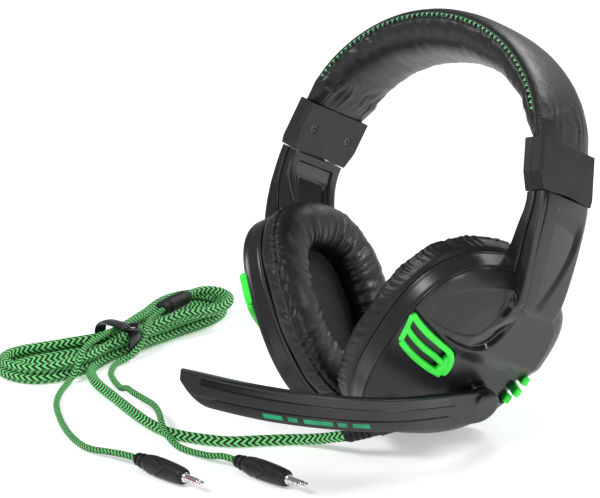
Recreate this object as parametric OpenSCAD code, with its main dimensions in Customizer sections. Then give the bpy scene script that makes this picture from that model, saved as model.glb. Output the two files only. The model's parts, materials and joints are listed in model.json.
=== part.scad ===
// Over-ear gaming headset with a swing-up microphone boom and a braided lead.
// Millimetres. +X is the wearer's left, -Y is the front, +Z is up.
// The headset leans back on the bottoms of its two cups; its lead lies on the same surface.

/* [Fit on the head] */
// Distance between the outer top corners of the two slider housings
housing_span = 163; // [154:1:176]
// Height from the cup centres up to the top of the slider housings
cup_drop = 104; // [100:1:110]
// Height of the headband seam above the top of the slider housings
band_rise = 53; // [46:1:60]
// Distance between the two cup centres, at the pad joint
cup_spacing = 82; // [80:1:96]
// Angle by which each cup faces upwards, in degrees
cup_tilt = 31.5; // [28:0.5:34]
// Lean of the whole headset, top backwards, in degrees
stance_lean = 26; // [20:1:30]

/* [Headband] */
// Width of the padded headband, front to back
band_width = 48; // [40:1:52]
// Crown of the padding above its seam
band_crown = 6; // [5:1:10]
// Depth of the padding below its seam, at the top of the head
band_depth = 17; // [12:1:20]
// Width of the steel spring strip
spring_width = 14; // [10:1:16]
// Thickness of the steel spring strip
spring_thick = 1; // [0.8:0.1:1.2]

/* [Sliders] */
// Inward tilt of the slider housings, in degrees
housing_tilt = 13.8; // [12:0.2:16]
// Thickness of a slider housing
housing_depth = 11; // [10.5:0.5:13]
// Height of a slider housing
housing_height = 26.4; // [24:0.2:30]
// Width of a slider housing at its top
housing_top_width = 47.6; // [44:0.2:54]
// Width of a slider housing at its bottom
housing_bottom_width = 42; // [40:0.5:48]
// Width of the sliding stem
stem_width = 18; // [14:1:20]
// Thickness of the sliding stem
stem_thick = 2.8; // [2.4:0.2:3]
// How far each side extends
slider_travel = 24; // [18:1:26]
// Running clearance of the stem in its channel
slide_gap = 0.3; // [0.25:0.05:0.4]

/* [Cups] */
// Half width of a cup, front to back
cup_half_width = 46; // [42:1:50]
// Height of a cup above its centre
cup_top = 52; // [48:1:56]
// Height of a cup below its centre
cup_bottom = 58; // [52:1:62]
// Turn of the cup outline, top forwards, in degrees
cup_turn = 11.5; // [6:0.5:16]
// Depth of a cup shell
cup_depth = 25; // [23:0.5:28]
// Wall of the cup shells and arm covers
wall = 2; // [1.6:0.1:2.4]
// Thickness of an ear cushion
pad_thick = 15.5; // [13:0.5:17]
// Half width of the ear opening in a cushion
ear_half_width = 21; // [18:1:25]
// Half height of the ear opening in a cushion
ear_half_height = 30; // [26:1:34]
// Diameter of a loudspeaker
driver_diameter = 40; // [32:1:50]
// Thickness of the raised cover on the outer face of a cup
cover_thick = 3.4; // [2.6:0.2:4]

/* [Arms] */
// Half width of an arm, front to back
arm_half_width = 20.3; // [18:0.5:21]

/* [Microphone] */
// Height of the boom blade
boom_height = 16; // [13:0.5:18]
// Thickness of the boom blade
boom_thick = 7; // [6:0.2:8]
// Length of the straight part of the boom in front of its pivot
boom_straight = 45; // [35:1:55]
// Radius of the curve of the boom
boom_radius = 105; // [95:1:120]
// Angle through which the boom curves inwards, in degrees
boom_sweep = 60; // [45:1:64]
// Length of the straight tip of the boom
boom_tip = 19; // [15:1:25]
// Slope of the boom below the front direction, in degrees
boom_pitch = 14.5; // [10:0.5:20]
// Rise of the boom towards its tip, across the face, in degrees
boom_rise = 6; // [0:1:10]
// Diameter of the boom's pivot pin
pivot_diameter = 5; // [4:0.2:6]

/* [Lead] */
// Diameter of the braided main lead
cord_diameter = 5.6; // [5:0.2:6]
// Diameter of each branch lead
branch_diameter = 3.4; // [3:0.2:3.8]
// Diameter of a jack pin
jack_diameter = 3.5; // [2.5:0.5:3.5]
// Length of a jack pin
jack_length = 14; // [12:0.5:15]
// Length of a plug body
plug_length = 38; // [32:1:42]
// Diameter of a plug body
plug_diameter = 10; // [8.5:0.5:11]

/* [Hidden] */
$fn = 48;

fit_gap = 0.15;          // between parts of one body that slot together
cut = 1;                 // how far a cutting shape runs past what it cuts
half_span = housing_span / 2;
cup_x = cup_spacing / 2;
cup_y = -7.7;            // the cups sit a little in front of the arms

// ---- general functions ----
function mix(a, b, t) = a + (b - a) * t;
function power(v, e) = sign(v) * pow(abs(v), e);
function bezier(a, b, c, d, t) =
    pow(1 - t, 3) * a + 3 * pow(1 - t, 2) * t * b + 3 * (1 - t) * t * t * c + pow(t, 3) * d;
function turned(p, a) = [p[0] * cos(a) - p[1] * sin(a), p[0] * sin(a) + p[1] * cos(a)];
function unit(v) = v / norm(v);

// A closed surface through a list of rings of points; with loop, the last ring meets the first.
module skin(rings, loop = false) {
    m = len(rings);
    n = len(rings[0]);
    last = loop ? m - 1 : m - 2;
    sides = [for (j = [0:last], i = [0:n - 1])
        let (a = j * n + i, b = j * n + (i + 1) % n,
             c = ((j + 1) % m) * n + i, d = ((j + 1) % m) * n + (i + 1) % n)
        each [[a, c, d], [a, d, b]]];
    caps = loop ? [] : [[for (i = [0:n - 1]) i], [for (i = [n - 1:-1:0]) (m - 1) * n + i]];
    polyhedron(points = [for (r = rings) each r], faces = concat(sides, caps), convexity = 8);
}

// ---- places ----
// The whole headset, leaning back and lifted until its cups touch the surface.
// It also stands this far back, so that the origin lies under the middle of the headset.
stand_back = 29.17;
module stand() translate([0, stand_back, stand_lift]) rotate([-stance_lean, 0, 0]) children();
module left() stand() children();
module right() stand() mirror([1, 0, 0]) children();
// A slider housing's own axes: +X outwards, +Z up along the stem, zero at the outer top edge.
module at_housing() translate([half_span, 0, cup_drop]) rotate([0, -housing_tilt, 0]) children();
// A cup's own axes: +X backwards, +Y up in the plane of the pad, +Z outwards from the pad joint.
module at_cup() translate([cup_x, cup_y, 0]) rotate([0, cup_tilt, 0]) rotate([90, 0, 90]) children();
// The same two places as points in the plane x, z.
function housing_point(out, up) = [half_span + out * cos(housing_tilt) - up * sin(housing_tilt),
    cup_drop + out * sin(housing_tilt) + up * cos(housing_tilt)];
function cup_point(up, out) = [cup_x + out * cos(cup_tilt) + up * sin(cup_tilt),
    up * cos(cup_tilt) - out * sin(cup_tilt)];
// Height of a point of a cup after the lean.
function leaned_height(u, w, d) =
    cup_point(w, d)[1] * cos(stance_lean) - (cup_y + u) * sin(stance_lean);

// ---- cups ----
cup_sides = 44;
cup_squareness = 2.6;
// Each row: depth as a share of the cup depth, width scale, height scale, shifts backwards and up
cup_rows = [[0, 1, 1, 0, 0], [0.3, 1.01, 1, 0.4, 0], [0.46, 1.02, 0.99, 0.8, 0.3], [0.62, 0.97, 0.95, 5, 1.6],
    [0.78, 0.89, 0.88, 9.6, 3.4], [0.92, 0.77, 0.78, 13, 5], [1, 0.6, 0.64, 15, 5.4]];
function outline(half_w, top, bottom) = [for (k = [0:cup_sides - 1])
    let (t = 360 * k / cup_sides, c = power(cos(t), 2 / cup_squareness),
         s = power(sin(t), 2 / cup_squareness))
    turned([half_w * c, (s > 0 ? top : bottom) * s], cup_turn)];
function cup_outline(inset) =
    outline(cup_half_width - inset, cup_top - inset, cup_bottom - inset);
function cup_ring(row, inset) = [for (p = cup_outline(inset))
    [p[0] * row[1] + row[3], p[1] * row[2] + row[4], row[0] * cup_depth - (row[0] > 0.9 ? inset : 0)]];
// The raised cover's outline, as shares of the cup's, and its shift backwards and up
cover_width_share = 0.8;
cover_height_share = 0.79;
cover_shift = [10, 5];
cover_top = cup_top * cover_height_share + cover_shift[1];
cover_bottom = 9;
// Oval recess in front of the cover: its middle, half width and half height
recess_place = [-33, 30];
recess_half = [25, 14.5];
// Lift that puts the lowest point of the cups on the surface.
stand_lift = -min([for (row = cup_rows) each [for (p = cup_ring(row, 0)) leaned_height(p[0], p[1], p[2])]]);

// Solid of the cup's outer shape, grown (negative inset) or shrunk.
module cup_solid(inset) skin([for (row = cup_rows) cup_ring(row, inset)]);

post_places = [[-30, 36], [18, 38], [32, -28], [-20, -44]];
post_radius = 3.4;
screw_radius = 1.2;
screw_depth = 11;
baffle_back = 0.2;
baffle_front = 2.2;
module cup_shell() {
    difference() {
        union() {
            difference() {
                cup_solid(0);
                translate([0, 0, -0.01]) cup_solid(wall);
                translate([0, 0, -cut]) linear_extrude(cut + 0.02) polygon(cup_outline(wall));
            }
            intersection() {
                for (p = post_places)
                    translate([p[0], p[1], baffle_front + fit_gap]) cylinder(h = cup_depth, r = post_radius);
                cup_solid(wall / 2);
            }
        }
        for (p = post_places) translate([p[0], p[1], 0]) cylinder(h = screw_depth, r = screw_radius);
        front_vent_block(fit_gap);
        rear_vent_block(fit_gap);
    }
}
module baffle() {
    difference() {
        translate([0, 0, baffle_back]) linear_extrude(baffle_front - baffle_back)
            polygon(cup_outline(wall + fit_gap));
        translate([0, 0, -cut]) cylinder(h = 2 * cut + baffle_front, d = driver_diameter - 5);
        for (p = post_places) translate([p[0], p[1], -cut]) {
            cylinder(h = 2 * cut + baffle_front, r = screw_radius + fit_gap);
            cylinder(h = cut + 1.4, r = 2.6);
        }
    }
}
module cup_screws() for (p = post_places) translate([p[0], p[1], 0]) {
    difference() {
        translate([0, 0, baffle_back]) cylinder(h = 1.4 - baffle_back, r = 2.4);
        translate([-0.3, -1.6, 0]) cube([0.6, 3.2, 0.7]);
        translate([-1.6, -0.3, 0]) cube([3.2, 0.6, 0.7]);
    }
    translate([0, 0, 1.4 - 0.01]) cylinder(h = screw_depth - 2, r = screw_radius - 0.05);
}
driver_radius = driver_diameter / 2;
module driver_frame() difference() {
    union() {
        translate([0, 0, baffle_front + 0.05]) cylinder(h = 2.2, r = driver_radius);
        translate([0, 0, baffle_front + 2.2]) cylinder(h = 3.6, r = driver_radius * 0.78);
    }
    translate([0, 0, baffle_front]) cylinder(h = 1.2, r = driver_radius - 2.2);
    translate([0, 0, baffle_front]) cylinder(h = 8, r = driver_radius * 0.52);
    for (a = [0:60:300]) rotate(a) translate([driver_radius * 0.65, 0, 3]) cylinder(h = 4, r = 1.4);
}
module driver_magnet() translate([0, 0, baffle_front + 3.2]) difference() {
    cylinder(h = 5.4, r = driver_radius * 0.52 - 0.1);
    translate([0, 0, -cut]) cylinder(h = 5.4, r = driver_radius * 0.3);
    translate([0, 0, -cut]) cylinder(h = 9, r = 1.5);
}
module diaphragm() translate([0, 0, baffle_front + 0.25]) difference() {
    cylinder(h = 0.8, r = driver_radius - 2.3);
    translate([0, 0, 0.5]) difference() {
        cylinder(h = 1, r = driver_radius - 3.4);
        cylinder(h = 1, r = driver_radius * 0.3);
    }
}
module speaker_cloth() translate([0, 0, -0.7])
    linear_extrude(0.6) polygon(outline(ear_half_width + 3, ear_half_height + 3, ear_half_height + 5));

// Ear cushion: each row is a share of the way from the opening to the rim, and a depth.
pad_rows = [[0, 0.06], [0.02, 0.55], [0.14, 0.84], [0.4, 0.97], [0.7, 1], [0.95, 0.88], [1.04, 0.6],
    [1.035, 0.22], [1, 0.06]];
module ear_cushion() {
    rim = cup_outline(0);
    hole = outline(ear_half_width, ear_half_height, ear_half_height + 2);
    skin([for (row = pad_rows) [for (k = [0:cup_sides - 1])
        let (p = mix(hole[k], rim[k], row[0])) [p[0], p[1], -row[1] * pad_thick]]], loop = true);
}
// Where the two cushions meet they flatten against each other, each this far from the middle
pad_clear = 0.5;
module cushion_in_place() intersection() {
    at_cup() ear_cushion();
    translate([pad_clear, -150, -150]) cube(300);
}

// ---- vents ----
// A bar with a rounded far end and two long slots, lying on the front bevel of the cup.
vent_length = 36;
vent_height = 15;
vent_plate = 3.2;
vent_slot = 2.8;
vent_proud = 1;
// Front end of the vent on the cup, and the slope of the bevel that carries it
front_vent_place = [-cup_half_width - 0.4, 4, 0.46 * cup_depth];
front_vent_slope = -24;
rear_vent_place = [cup_half_width + 5.6, -6, 0.5 * cup_depth];
rear_vent_slope = -66;
rear_vent_length = 20;
module vent_shape(length, grow) {
    translate([-grow, -vent_height / 2 - grow])
        square([length - vent_height / 2 + 2 * grow, vent_height + 2 * grow]);
    translate([length - vent_height / 2, 0]) circle(r = vent_height / 2 + grow);
}
module vent(length) {
    difference() {
        linear_extrude(vent_plate) vent_shape(length, 0);
        for (y = [-1, 1]) translate([4, y * vent_slot - vent_slot / 2, -cut])
            linear_extrude(vent_plate + 2 * cut) {
                square([length - 11, vent_slot]);
                translate([length - 11, vent_slot / 2]) circle(d = vent_slot, $fn = 24);
            }
    }
}
module at_front_vent() translate(front_vent_place) rotate([0, front_vent_slope, 0]) rotate([0, 0, -14])
    translate([0, 0, vent_proud - vent_plate]) children();
module at_rear_vent() translate(rear_vent_place) rotate([0, rear_vent_slope, 180])
    rotate([0, 0, 8]) translate([0, 0, vent_proud - vent_plate]) children();
module front_vent_block(grow) at_front_vent()
    translate([0, 0, -4]) linear_extrude(vent_plate + 8) vent_shape(vent_length, grow);
module rear_vent_block(grow) at_rear_vent()
    translate([0, 0, -4]) linear_extrude(vent_plate + 8) vent_shape(rear_vent_length, grow);
module front_vent() at_front_vent() vent(vent_length);
module rear_vent() at_rear_vent() vent(rear_vent_length);

// ---- arms ----
arm_top_gap = 0.8;
arm_up = -housing_height - arm_top_gap;
arm_outer_top = housing_point(-0.3, arm_up);
arm_inner_top = housing_point(-housing_depth + 0.4, arm_up);
arm_outer_end = cup_point(cover_top - 6, cup_depth + cover_thick);
arm_inner_end = cup_point(cup_top + 2, 1);
housing_down = [sin(housing_tilt), -cos(housing_tilt)];
cup_up = [sin(cup_tilt), cos(cup_tilt)];
function arm_outer_line(t) = bezier(arm_outer_top, arm_outer_top + 10 * housing_down,
    arm_outer_end + 8 * cup_up, arm_outer_end, t);
function arm_inner_line(t) = bezier(arm_inner_top, arm_inner_top + 6 * housing_down,
    arm_inner_end + [5, 8.5], arm_inner_end, t);
// Ring round the arm's section at t, between two shares of its thickness, with cut corners.
function arm_ring(t, from, to, inset, corner) =
    let (a = arm_outer_line(t), b = arm_inner_line(t), step = unit(b - a) * inset,
         p = mix(a, b, from) + step, q = mix(a, b, to) - (to > 0.9 ? step : [0, 0]),
         h = arm_half_width - inset, c = corner, k = unit(q - p) * c)
    [for (e = [[p, -h + c], [p, h - c], [p + k, h], [q - k, h], [q, h - c], [q, -h + c],
        [q - k, -h], [p + k, -h]]) [e[0][0], e[1], e[0][1]]];
module arm_skin(from, to, inset, corner, first, last) {
    steps = 8;
    skin([for (j = [0:steps]) arm_ring(mix(last, first, j / steps), from, to, inset, corner)]);
}
arm_split = 0.5;
stem_out = -5;                    // middle of the stem in the housing's thickness
stem_below = 11;                  // how far the stem runs down into the arm
stem_above = 10;                  // how far it stands above the housing when closed
module stem_block(grow, below, above) at_housing()
    translate([stem_out - stem_thick / 2 - grow, -stem_width / 2 - grow, -housing_height - below])
        cube([stem_thick + 2 * grow, stem_width + 2 * grow, housing_height + below + above]);
stem_screw_places = [-5.5, 5.5];
module stem_screw_holes(r) at_housing() for (y = stem_screw_places)
    translate([stem_out, y, -housing_height - 6.5]) rotate([0, 90, 0]) cylinder(h = 30, r = r, center = true);
module stem() difference() {
    stem_block(0, stem_below, stem_above);
    // click notches along the rear edge
    at_housing() for (k = [0:6]) translate([stem_out, stem_width / 2, -stem_above - 1 - 3 * k + 14])
        rotate([0, 90, 0]) cylinder(h = stem_thick + cut, r = 0.5, center = true, $fn = 24);
    stem_screw_holes(1.1);
}
// Raised cover on the outer face of the cup: it carries the arm and sweeps round an oval recess.
module cover_slab() at_cup() translate([0, 0, cup_depth - 8]) linear_extrude(8 + cover_thick)
    difference() {
        intersection() {
            translate(cover_shift) scale([cover_width_share, cover_height_share]) polygon(cup_outline(0));
            translate([-cup_half_width - 8, cover_bottom]) square([2 * cup_half_width, cup_top]);
        }
        translate(recess_place) scale([recess_half[0] / recess_half[1], 1]) circle(r = recess_half[1]);
        translate([-cup_half_width - 20, recess_place[1]]) square([recess_half[0] + 33, 30]);
    }
module arm_outer() difference() {
    union() {
        arm_skin(0, arm_split, 0, 1.2, 0, 1);
        cover_slab();
    }
    arm_skin(0, arm_split + 0.2, wall, 0.8, 0.1, 0.9);
    stem_block(0.02, stem_below, 0);
    at_cup() cup_solid(-fit_gap);
    at_cup() front_vent_block(fit_gap);
    at_cup() rear_vent_block(fit_gap);
}
module arm_inner() difference() {
    arm_skin(arm_split + 0.01, 1, 0, 1.2, 0, 1);
    arm_skin(arm_split - 0.2, 1, wall, 0.8, 0.1, 0.8);
    stem_block(0.02, stem_below, 0);
    at_cup() cup_solid(-fit_gap);
    at_cup() translate([0, 0, -30 - fit_gap]) linear_extrude(30) square(200, center = true);
}

// ---- slider housings ----
housing_split = stem_out - stem_thick / 2 - slide_gap;
module housing_outline(from, to) rotate([90, 0, 90]) translate([0, 0, from]) linear_extrude(to - from)
    difference() {
        polygon([[-housing_bottom_width / 2, -housing_height], [housing_bottom_width / 2, -housing_height],
            [housing_top_width / 2, -housing_height + 9], [housing_top_width / 2, 0],
            [-housing_top_width / 2, 0], [-housing_top_width / 2, -housing_height + 9]]);
        // hollow sweep of the bottom edge
        translate([0, -housing_height - 79]) circle(r = 80, $fn = 96);
    }
housing_screw_y = 14.2;
housing_screw_z = -12.5;
detent_z = -20;
module housing_screw_bore(from, to, r) for (y = [-1, 1])
    translate([from, y * housing_screw_y, housing_screw_z]) rotate([0, 90, 0]) cylinder(h = to - from, r = r);
module housing_outer() at_housing() difference() {
    housing_outline(housing_split, 0);
    translate([housing_split - cut, -stem_width / 2 - slide_gap, -housing_height - cut])
        cube([stem_thick + 2 * slide_gap + cut, stem_width + 2 * slide_gap, housing_height + 2 * cut]);
    housing_screw_bore(housing_split - cut, -2.2, screw_radius);
    translate([housing_split - cut, stem_width / 2, detent_z])
        cube([stem_thick + 2 * slide_gap + cut, 3.2, 16]);
    // sloping shoulder along the front and rear edges
    for (y = [-1, 1]) scale([1, y, 1]) translate([0, housing_top_width / 2 - 1.6, -housing_height - cut])
        rotate([0, 0, 45]) translate([0, -6, 0]) cube([12, 12, housing_height + 2 * cut]);
}
module housing_inner() at_housing() difference() {
    housing_outline(-housing_depth, housing_split);
    translate([housing_split - spring_space, -spring_width / 2 - fit_gap, -15])
        cube([spring_space + cut, spring_width + 2 * fit_gap, 15 + cut]);
    housing_screw_bore(-housing_depth - cut, housing_split + cut, screw_radius + fit_gap);
    housing_screw_bore(-housing_depth - cut, -housing_depth + 1.6, 2.5);
}
module housing_screws() at_housing() {
    difference() {
        housing_screw_bore(-housing_depth + 0.3, -housing_depth + 1.6, 2.3);
        for (y = [-1, 1]) translate([-housing_depth, y * housing_screw_y, housing_screw_z]) {
            translate([0, -1.5, -0.3]) cube([0.9, 3, 0.6]);
            translate([0, -0.3, -1.5]) cube([0.9, 0.6, 3]);
        }
    }
    housing_screw_bore(-housing_depth + 1.59, -2.5, screw_radius - 0.05);
}
module detent_spring() at_housing() translate([stem_out, stem_width / 2 + slide_gap, detent_z + 0.5]) {
    translate([-1.2, 1.3, 0]) cube([2.4, 0.5, 15]);
    translate([0, 1.3, 7.5]) rotate([0, 90, 0]) cylinder(h = 2.4, r = 1.2, center = true);
}

// ---- headband ----
spring_space = spring_thick + 1.3;
spring_out = housing_split - 0.4 - spring_thick / 2;
band_low = 16;                              // the band's arch is centred this far below the housing tops
band_half = half_span - housing_depth / 2 + 0.4;
band_high = band_rise + band_low;
band_steps = 26;
band_first = 20;
function band_angle(k) = band_first + (180 - 2 * band_first) * k / band_steps;
function band_place(a) = [band_half * cos(a), cup_drop - band_low + band_high * sin(a)];
function band_normal(a) = unit([cos(a) / band_half, sin(a) / band_high]);
// Padding outside and inside the seam, growing from the ends to the middle
function band_outside(a) = mix(band_crown + 0.6, band_crown, pow(sin(a), 2));
function band_inside(a) = mix(4, band_depth, pow(sin(a), 1.2));
band_sides = 20;
function band_section(place, normal, outside, inside, half) = [for (i = [0:band_sides - 1])
    let (t = -360 * i / band_sides, s = power(sin(t), 0.85), h = (s > 0 ? outside : inside) * s,
         y = half * power(cos(t), 0.7))
    [place[0] + normal[0] * h, y, place[1] + normal[1] * h]];
band_end_normal = [cos(housing_tilt), sin(housing_tilt)];
module headband_cushion() difference() {
    skin([for (k = [-1:band_steps + 1])
        let (side = k < 0 ? 1 : (k > band_steps ? -1 : 0), a = band_angle(k))
        side != 0
            ? let (p = housing_point(-housing_depth / 2, 0.3), n = band_end_normal)
                band_section([side * p[0], p[1]], [side * n[0], n[1]],
                    housing_depth / 2 - 0.4, housing_depth / 2 - 0.4, band_width / 2 - 1.5)
            : band_section(band_place(a), band_normal(a), band_outside(a), band_inside(a), band_width / 2)]);
    spring_path_skin(0.3, 0.2);
    for (m = [0, 1]) mirror([m, 0, 0]) stem_block(slide_gap, 0, stem_above + 2);
}
// The strip runs straight inside each housing and then follows the seam's arch.
module spring_path_skin(grow, from) {
    low = housing_point(spring_out, from - 14);
    high = housing_point(spring_out, from + 1);
    n = band_end_normal;
    w = spring_width / 2 + grow;
    h = spring_thick / 2 + grow;
    stations = concat([[low, n], [high, n]],
        [for (k = [0:band_steps]) [band_place(band_angle(k)), band_normal(band_angle(k))]],
        [[[-high[0], high[1]], [-n[0], n[1]]], [[-low[0], low[1]], [-n[0], n[1]]]]);
    skin([for (s = stations) [for (c = [[-h, w], [-h, -w], [h, -w], [h, w]])
        [s[0][0] + s[1][0] * c[0], c[1], s[0][1] + s[1][1] * c[0]]]]);
}
module headband_spring() spring_path_skin(0, 0);

// ---- microphone ----
pivot_radius = pivot_diameter / 2;
bracket_radius = 9;
boom_end_radius = 9.5;
washer_thick = 0.8;
pin_head = 1.2;
pin_root = 2.6;
// Middle of the round end of the boom, in the headset's axes and then in the cup's
pivot_place = [61.5, 10, -31];
pivot_offset = pivot_place - [cup_x, cup_y, 0];
pivot_in_cup = [pivot_offset[1], pivot_offset[0] * sin(cup_tilt) + pivot_offset[2] * cos(cup_tilt),
    pivot_offset[0] * cos(cup_tilt) - pivot_offset[2] * sin(cup_tilt)];
bracket_face = -boom_thick / 2 - washer_thick - 2 * slide_gap;
// The pivot's own axes: +Z outwards along the pin, which stands square on the cup.
module at_pivot() at_cup() translate(pivot_in_cup) children();
module mic_bracket() difference() {
    at_pivot() translate([0, 0, bracket_face - 14]) cylinder(h = 14, r = bracket_radius);
    at_cup() cup_solid(-fit_gap);
    at_pivot() translate([0, 0, bracket_face - 20]) cylinder(h = 30, r = pivot_radius + 0.01);
}
module mic_pivot_pin() at_pivot() translate([0, 0, bracket_face - pin_root])
    cylinder(h = pin_root - bracket_face + boom_thick / 2 - pin_head - slide_gap, r = pivot_radius);
module pivot_washer() at_pivot() translate([0, 0, bracket_face + slide_gap]) difference() {
    cylinder(h = washer_thick, r = 7);
    translate([0, 0, -cut]) cylinder(h = washer_thick + 2 * cut, r = pivot_radius + slide_gap);
}
// The boom's middle line, in its own flat plane: x is sideways, y is forwards (negative).
boom_steps = 12;
boom_line = concat([[0, -6, 0], [0, -boom_straight, 0]],
    [for (k = [1:boom_steps]) let (a = boom_sweep * k / boom_steps)
        [-boom_radius * (1 - cos(a)), -boom_straight - boom_radius * sin(a), a]],
    [[-boom_radius * (1 - cos(boom_sweep)) - boom_tip * sin(boom_sweep),
      -boom_straight - boom_radius * sin(boom_sweep) - boom_tip * cos(boom_sweep), boom_sweep]]);
// Section of the blade: from and to are distances outwards from its middle line
function boom_ring(p, from, to, low, high) =
    let (n = [cos(p[2]), -sin(p[2])], a = from, b = to)
    [for (e = [[a + 0.6, low], [b - 1, low], [b, low + 1.4], [b, high - 1.4], [b - 1, high],
        [a + 0.6, high], [a, high - 1], [a, low + 1]])
        [p[0] + n[0] * e[0], p[1] + n[1] * e[0], e[1] - p[0] * tan(boom_rise)]];
module at_boom() translate(pivot_place) rotate([boom_pitch, 0, 0]) children();
boom_split = -boom_thick / 2 + 2;           // joint between the boom's two halves
module boom_skin(from, to, inset) {
    count = len(boom_line);
    skin([for (k = [0:count - 1])
        let (p = boom_line[k], tip = k == count - 1 ? 1 : 0, r = inset * tip,
             q = [p[0] + r * sin(p[2]), p[1] + r * cos(p[2]), p[2]])
        boom_ring(q, from, to, -boom_height / 2 + inset + 5 * tip, boom_height / 2 - inset)]);
}
capsule_radius = 3.4;
boom_last = boom_line[len(boom_line) - 1];
module at_capsule() translate([boom_last[0], boom_last[1], 1.5 - boom_last[0] * tan(boom_rise)])
    rotate([0, 0, -boom_sweep]) translate([0, 10, -10 * sin(boom_sweep) * tan(boom_rise)])
    rotate([0, 90, 0]) children();
disc_reach = 20;                            // past the blade on both sides of the round end
module boom_disc(from, to) at_pivot() translate([0, 0, from]) cylinder(h = to - from, r = boom_end_radius);
module boom_bore(from, to) at_pivot() translate([0, 0, from])
    cylinder(h = to - from, r = pivot_radius + slide_gap);
module boom_outer() difference() {
    union() {
        difference() {
            at_boom() boom_skin(boom_split, boom_thick / 2, 0);
            difference() {
                at_boom() boom_skin(boom_split - cut, boom_thick / 2 - wall, 1.6);
                boom_disc(-disc_reach, disc_reach);
            }
            boom_disc(-disc_reach, boom_split);
            boom_disc(boom_thick / 2, disc_reach);
        }
        boom_disc(boom_split, boom_thick / 2);
    }
    boom_bore(boom_split - cut, boom_thick / 2 - pin_head);
}
module boom_inner() difference() {
    union() {
        difference() {
            at_boom() boom_skin(-boom_thick / 2, boom_split, 0);
            boom_disc(boom_split, disc_reach);
            boom_disc(-disc_reach, -boom_thick / 2);
        }
        boom_disc(-boom_thick / 2, boom_split);
    }
    boom_bore(-boom_thick / 2 - cut, boom_split + cut);
    at_boom() at_capsule() translate([0, 0, -boom_thick]) cylinder(h = boom_thick * 2, r = 1.2);
}
module mic_capsule() at_boom() at_capsule() translate([0, 0, boom_split + 0.1])
    cylinder(h = boom_thick / 2 - 2 - boom_split - 0.5, r = capsule_radius);

// ---- electronics in the left cup ----
module circuit_board() at_cup() translate([-14, -42, 8]) cube([28, 12, 1.6]);

// ---- lead ----
module at_lead() translate([0, stand_back, 0]) children();
relief_start = [33, -46, 18];
relief_end = [16, -54, 11];
relief_neck = 3.4;
relief_collar = 4.6;
function along(a, b) = [0, acos((b - a)[2] / norm(b - a)), atan2((b - a)[1], (b - a)[0])];
module strain_relief() {
    reach = norm(relief_end - relief_start);
    difference() {
        at_lead() translate(relief_start) rotate(along(relief_start, relief_end)) {
            translate([0, 0, -3]) cylinder(h = reach - 5, r1 = relief_collar, r2 = relief_neck, $fn = 40);
            translate([0, 0, reach - 9]) cylinder(h = 9, r = relief_neck);
            for (z = [8, 4.6, 1.4]) translate([0, 0, reach - z - 1]) cylinder(h = 2, r = relief_collar);
        }
        left() at_cup() cup_solid(-fit_gap);
    }
}

// A round tube along a list of points, its ends square to the first and last step.
function ahead(path, i) = unit(path[min(i + 1, len(path) - 1)] - path[max(i - 1, 0)]);
module tube(path, r, sides) {
    skin([for (i = [0:len(path) - 1])
        let (t = ahead(path, i), s = unit(cross(t, [0, 0, 1])), v = cross(s, t))
        [for (k = [0:sides - 1]) let (a = -360 * k / sides) path[i] + r * (cos(a) * s + sin(a) * v)]]);
}
// Points on a smooth curve through the chosen ones
function smooth_point(a, b, c, d, t) = 0.5 * (2 * b + (c - a) * t + (2 * a - 5 * b + 4 * c - d) * t * t
    + (3 * b - a - 3 * c + d) * t * t * t);
function smooth(p, steps) = concat([for (i = [0:len(p) - 2], j = [0:steps - 1])
    smooth_point(p[max(i - 1, 0)], p[i], p[i + 1], p[min(i + 2, len(p) - 1)], j / steps)],
    [p[len(p) - 1]]);

floor_z = 0.2;                               // the lead rests this far above the surface
main_z = cord_diameter / 2 + floor_z;
branch_z = branch_diameter / 2 + floor_z;
main_route = [relief_end, [9, -54, 8.5], [0, -54, 6], [-9, -56, 4.2], [-17, -59, main_z],
    [-28, -69, main_z], [-41, -81, main_z], [-60, -88, main_z], [-76, -90, main_z], [-95, -86, main_z],
    [-117, -78, main_z], [-139, -69, main_z], [-161, -60, main_z], [-175, -52, main_z], [-186, -43, main_z]];

hank_height = 12;
tie_wall = 1;
tie_y = -9;
hank_waist_x = -200;
module at_hank() translate([0, 0, floor_z + tie_wall]) children();
module hank_outline() {
    hull() {
        translate([-211, -60]) circle(r = 25, $fn = 32);
        translate([hank_waist_x, tie_y]) circle(r = 15, $fn = 32);
    }
    hull() {
        translate([-215, 65]) circle(r = 17, $fn = 32);
        translate([hank_waist_x, tie_y]) circle(r = 15, $fn = 32);
    }
}
module cord_hank() at_hank() linear_extrude(hank_height) hank_outline();
tie_length = 7;
tie_inside = [37, hank_height + 0.1];
module cord_tie() at_hank() translate([hank_waist_x, tie_y + tie_length / 2, hank_height / 2])
    rotate([90, 0, 0]) linear_extrude(tie_length) difference() {
        square(tie_inside + 2 * [tie_wall, tie_wall] - [0, 0.1], center = true);
        square(tie_inside, center = true);
    }
splitter_length = 30;
splitter_radius = 4.5;
splitter_place = [-207, 43, hank_height + floor_z + tie_wall + splitter_radius + 0.05];
module cord_splitter() translate(splitter_place) rotate([90, 0, 12]) {
    cylinder(h = splitter_length - 6, r = splitter_radius, center = true);
    translate([0, 0, splitter_length / 2 - 3]) cylinder(h = 3, r = splitter_radius - 1);
}
headphone_route = [[-185, -58, branch_z], [-177, -72, branch_z], [-160, -92, branch_z],
    [-142, -106, branch_z], [-123, -118, branch_z], [-106, -126, branch_z], [-92, -130, 2.4],
    [-77, -130, 4], [-65, -130, plug_diameter / 2], [-57, -130, plug_diameter / 2]];
mic_route = [[-187, -24, branch_z], [-174, -38, branch_z], [-154, -52, branch_z],
    [-145, -58, 4], [-136, -62, 7], [-125, -68, 9], [-113, -72, 9], [-101, -76, 9], [-91, -82, 8.4],
    [-81, -90, 8.6], [-71, -96, 5.2], [-57, -100, branch_z], [-36, -102, 3],
    [-25, -102, plug_diameter / 2], [-15, -102, plug_diameter / 2]];
headphone_plug_turn = -6;
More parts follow.
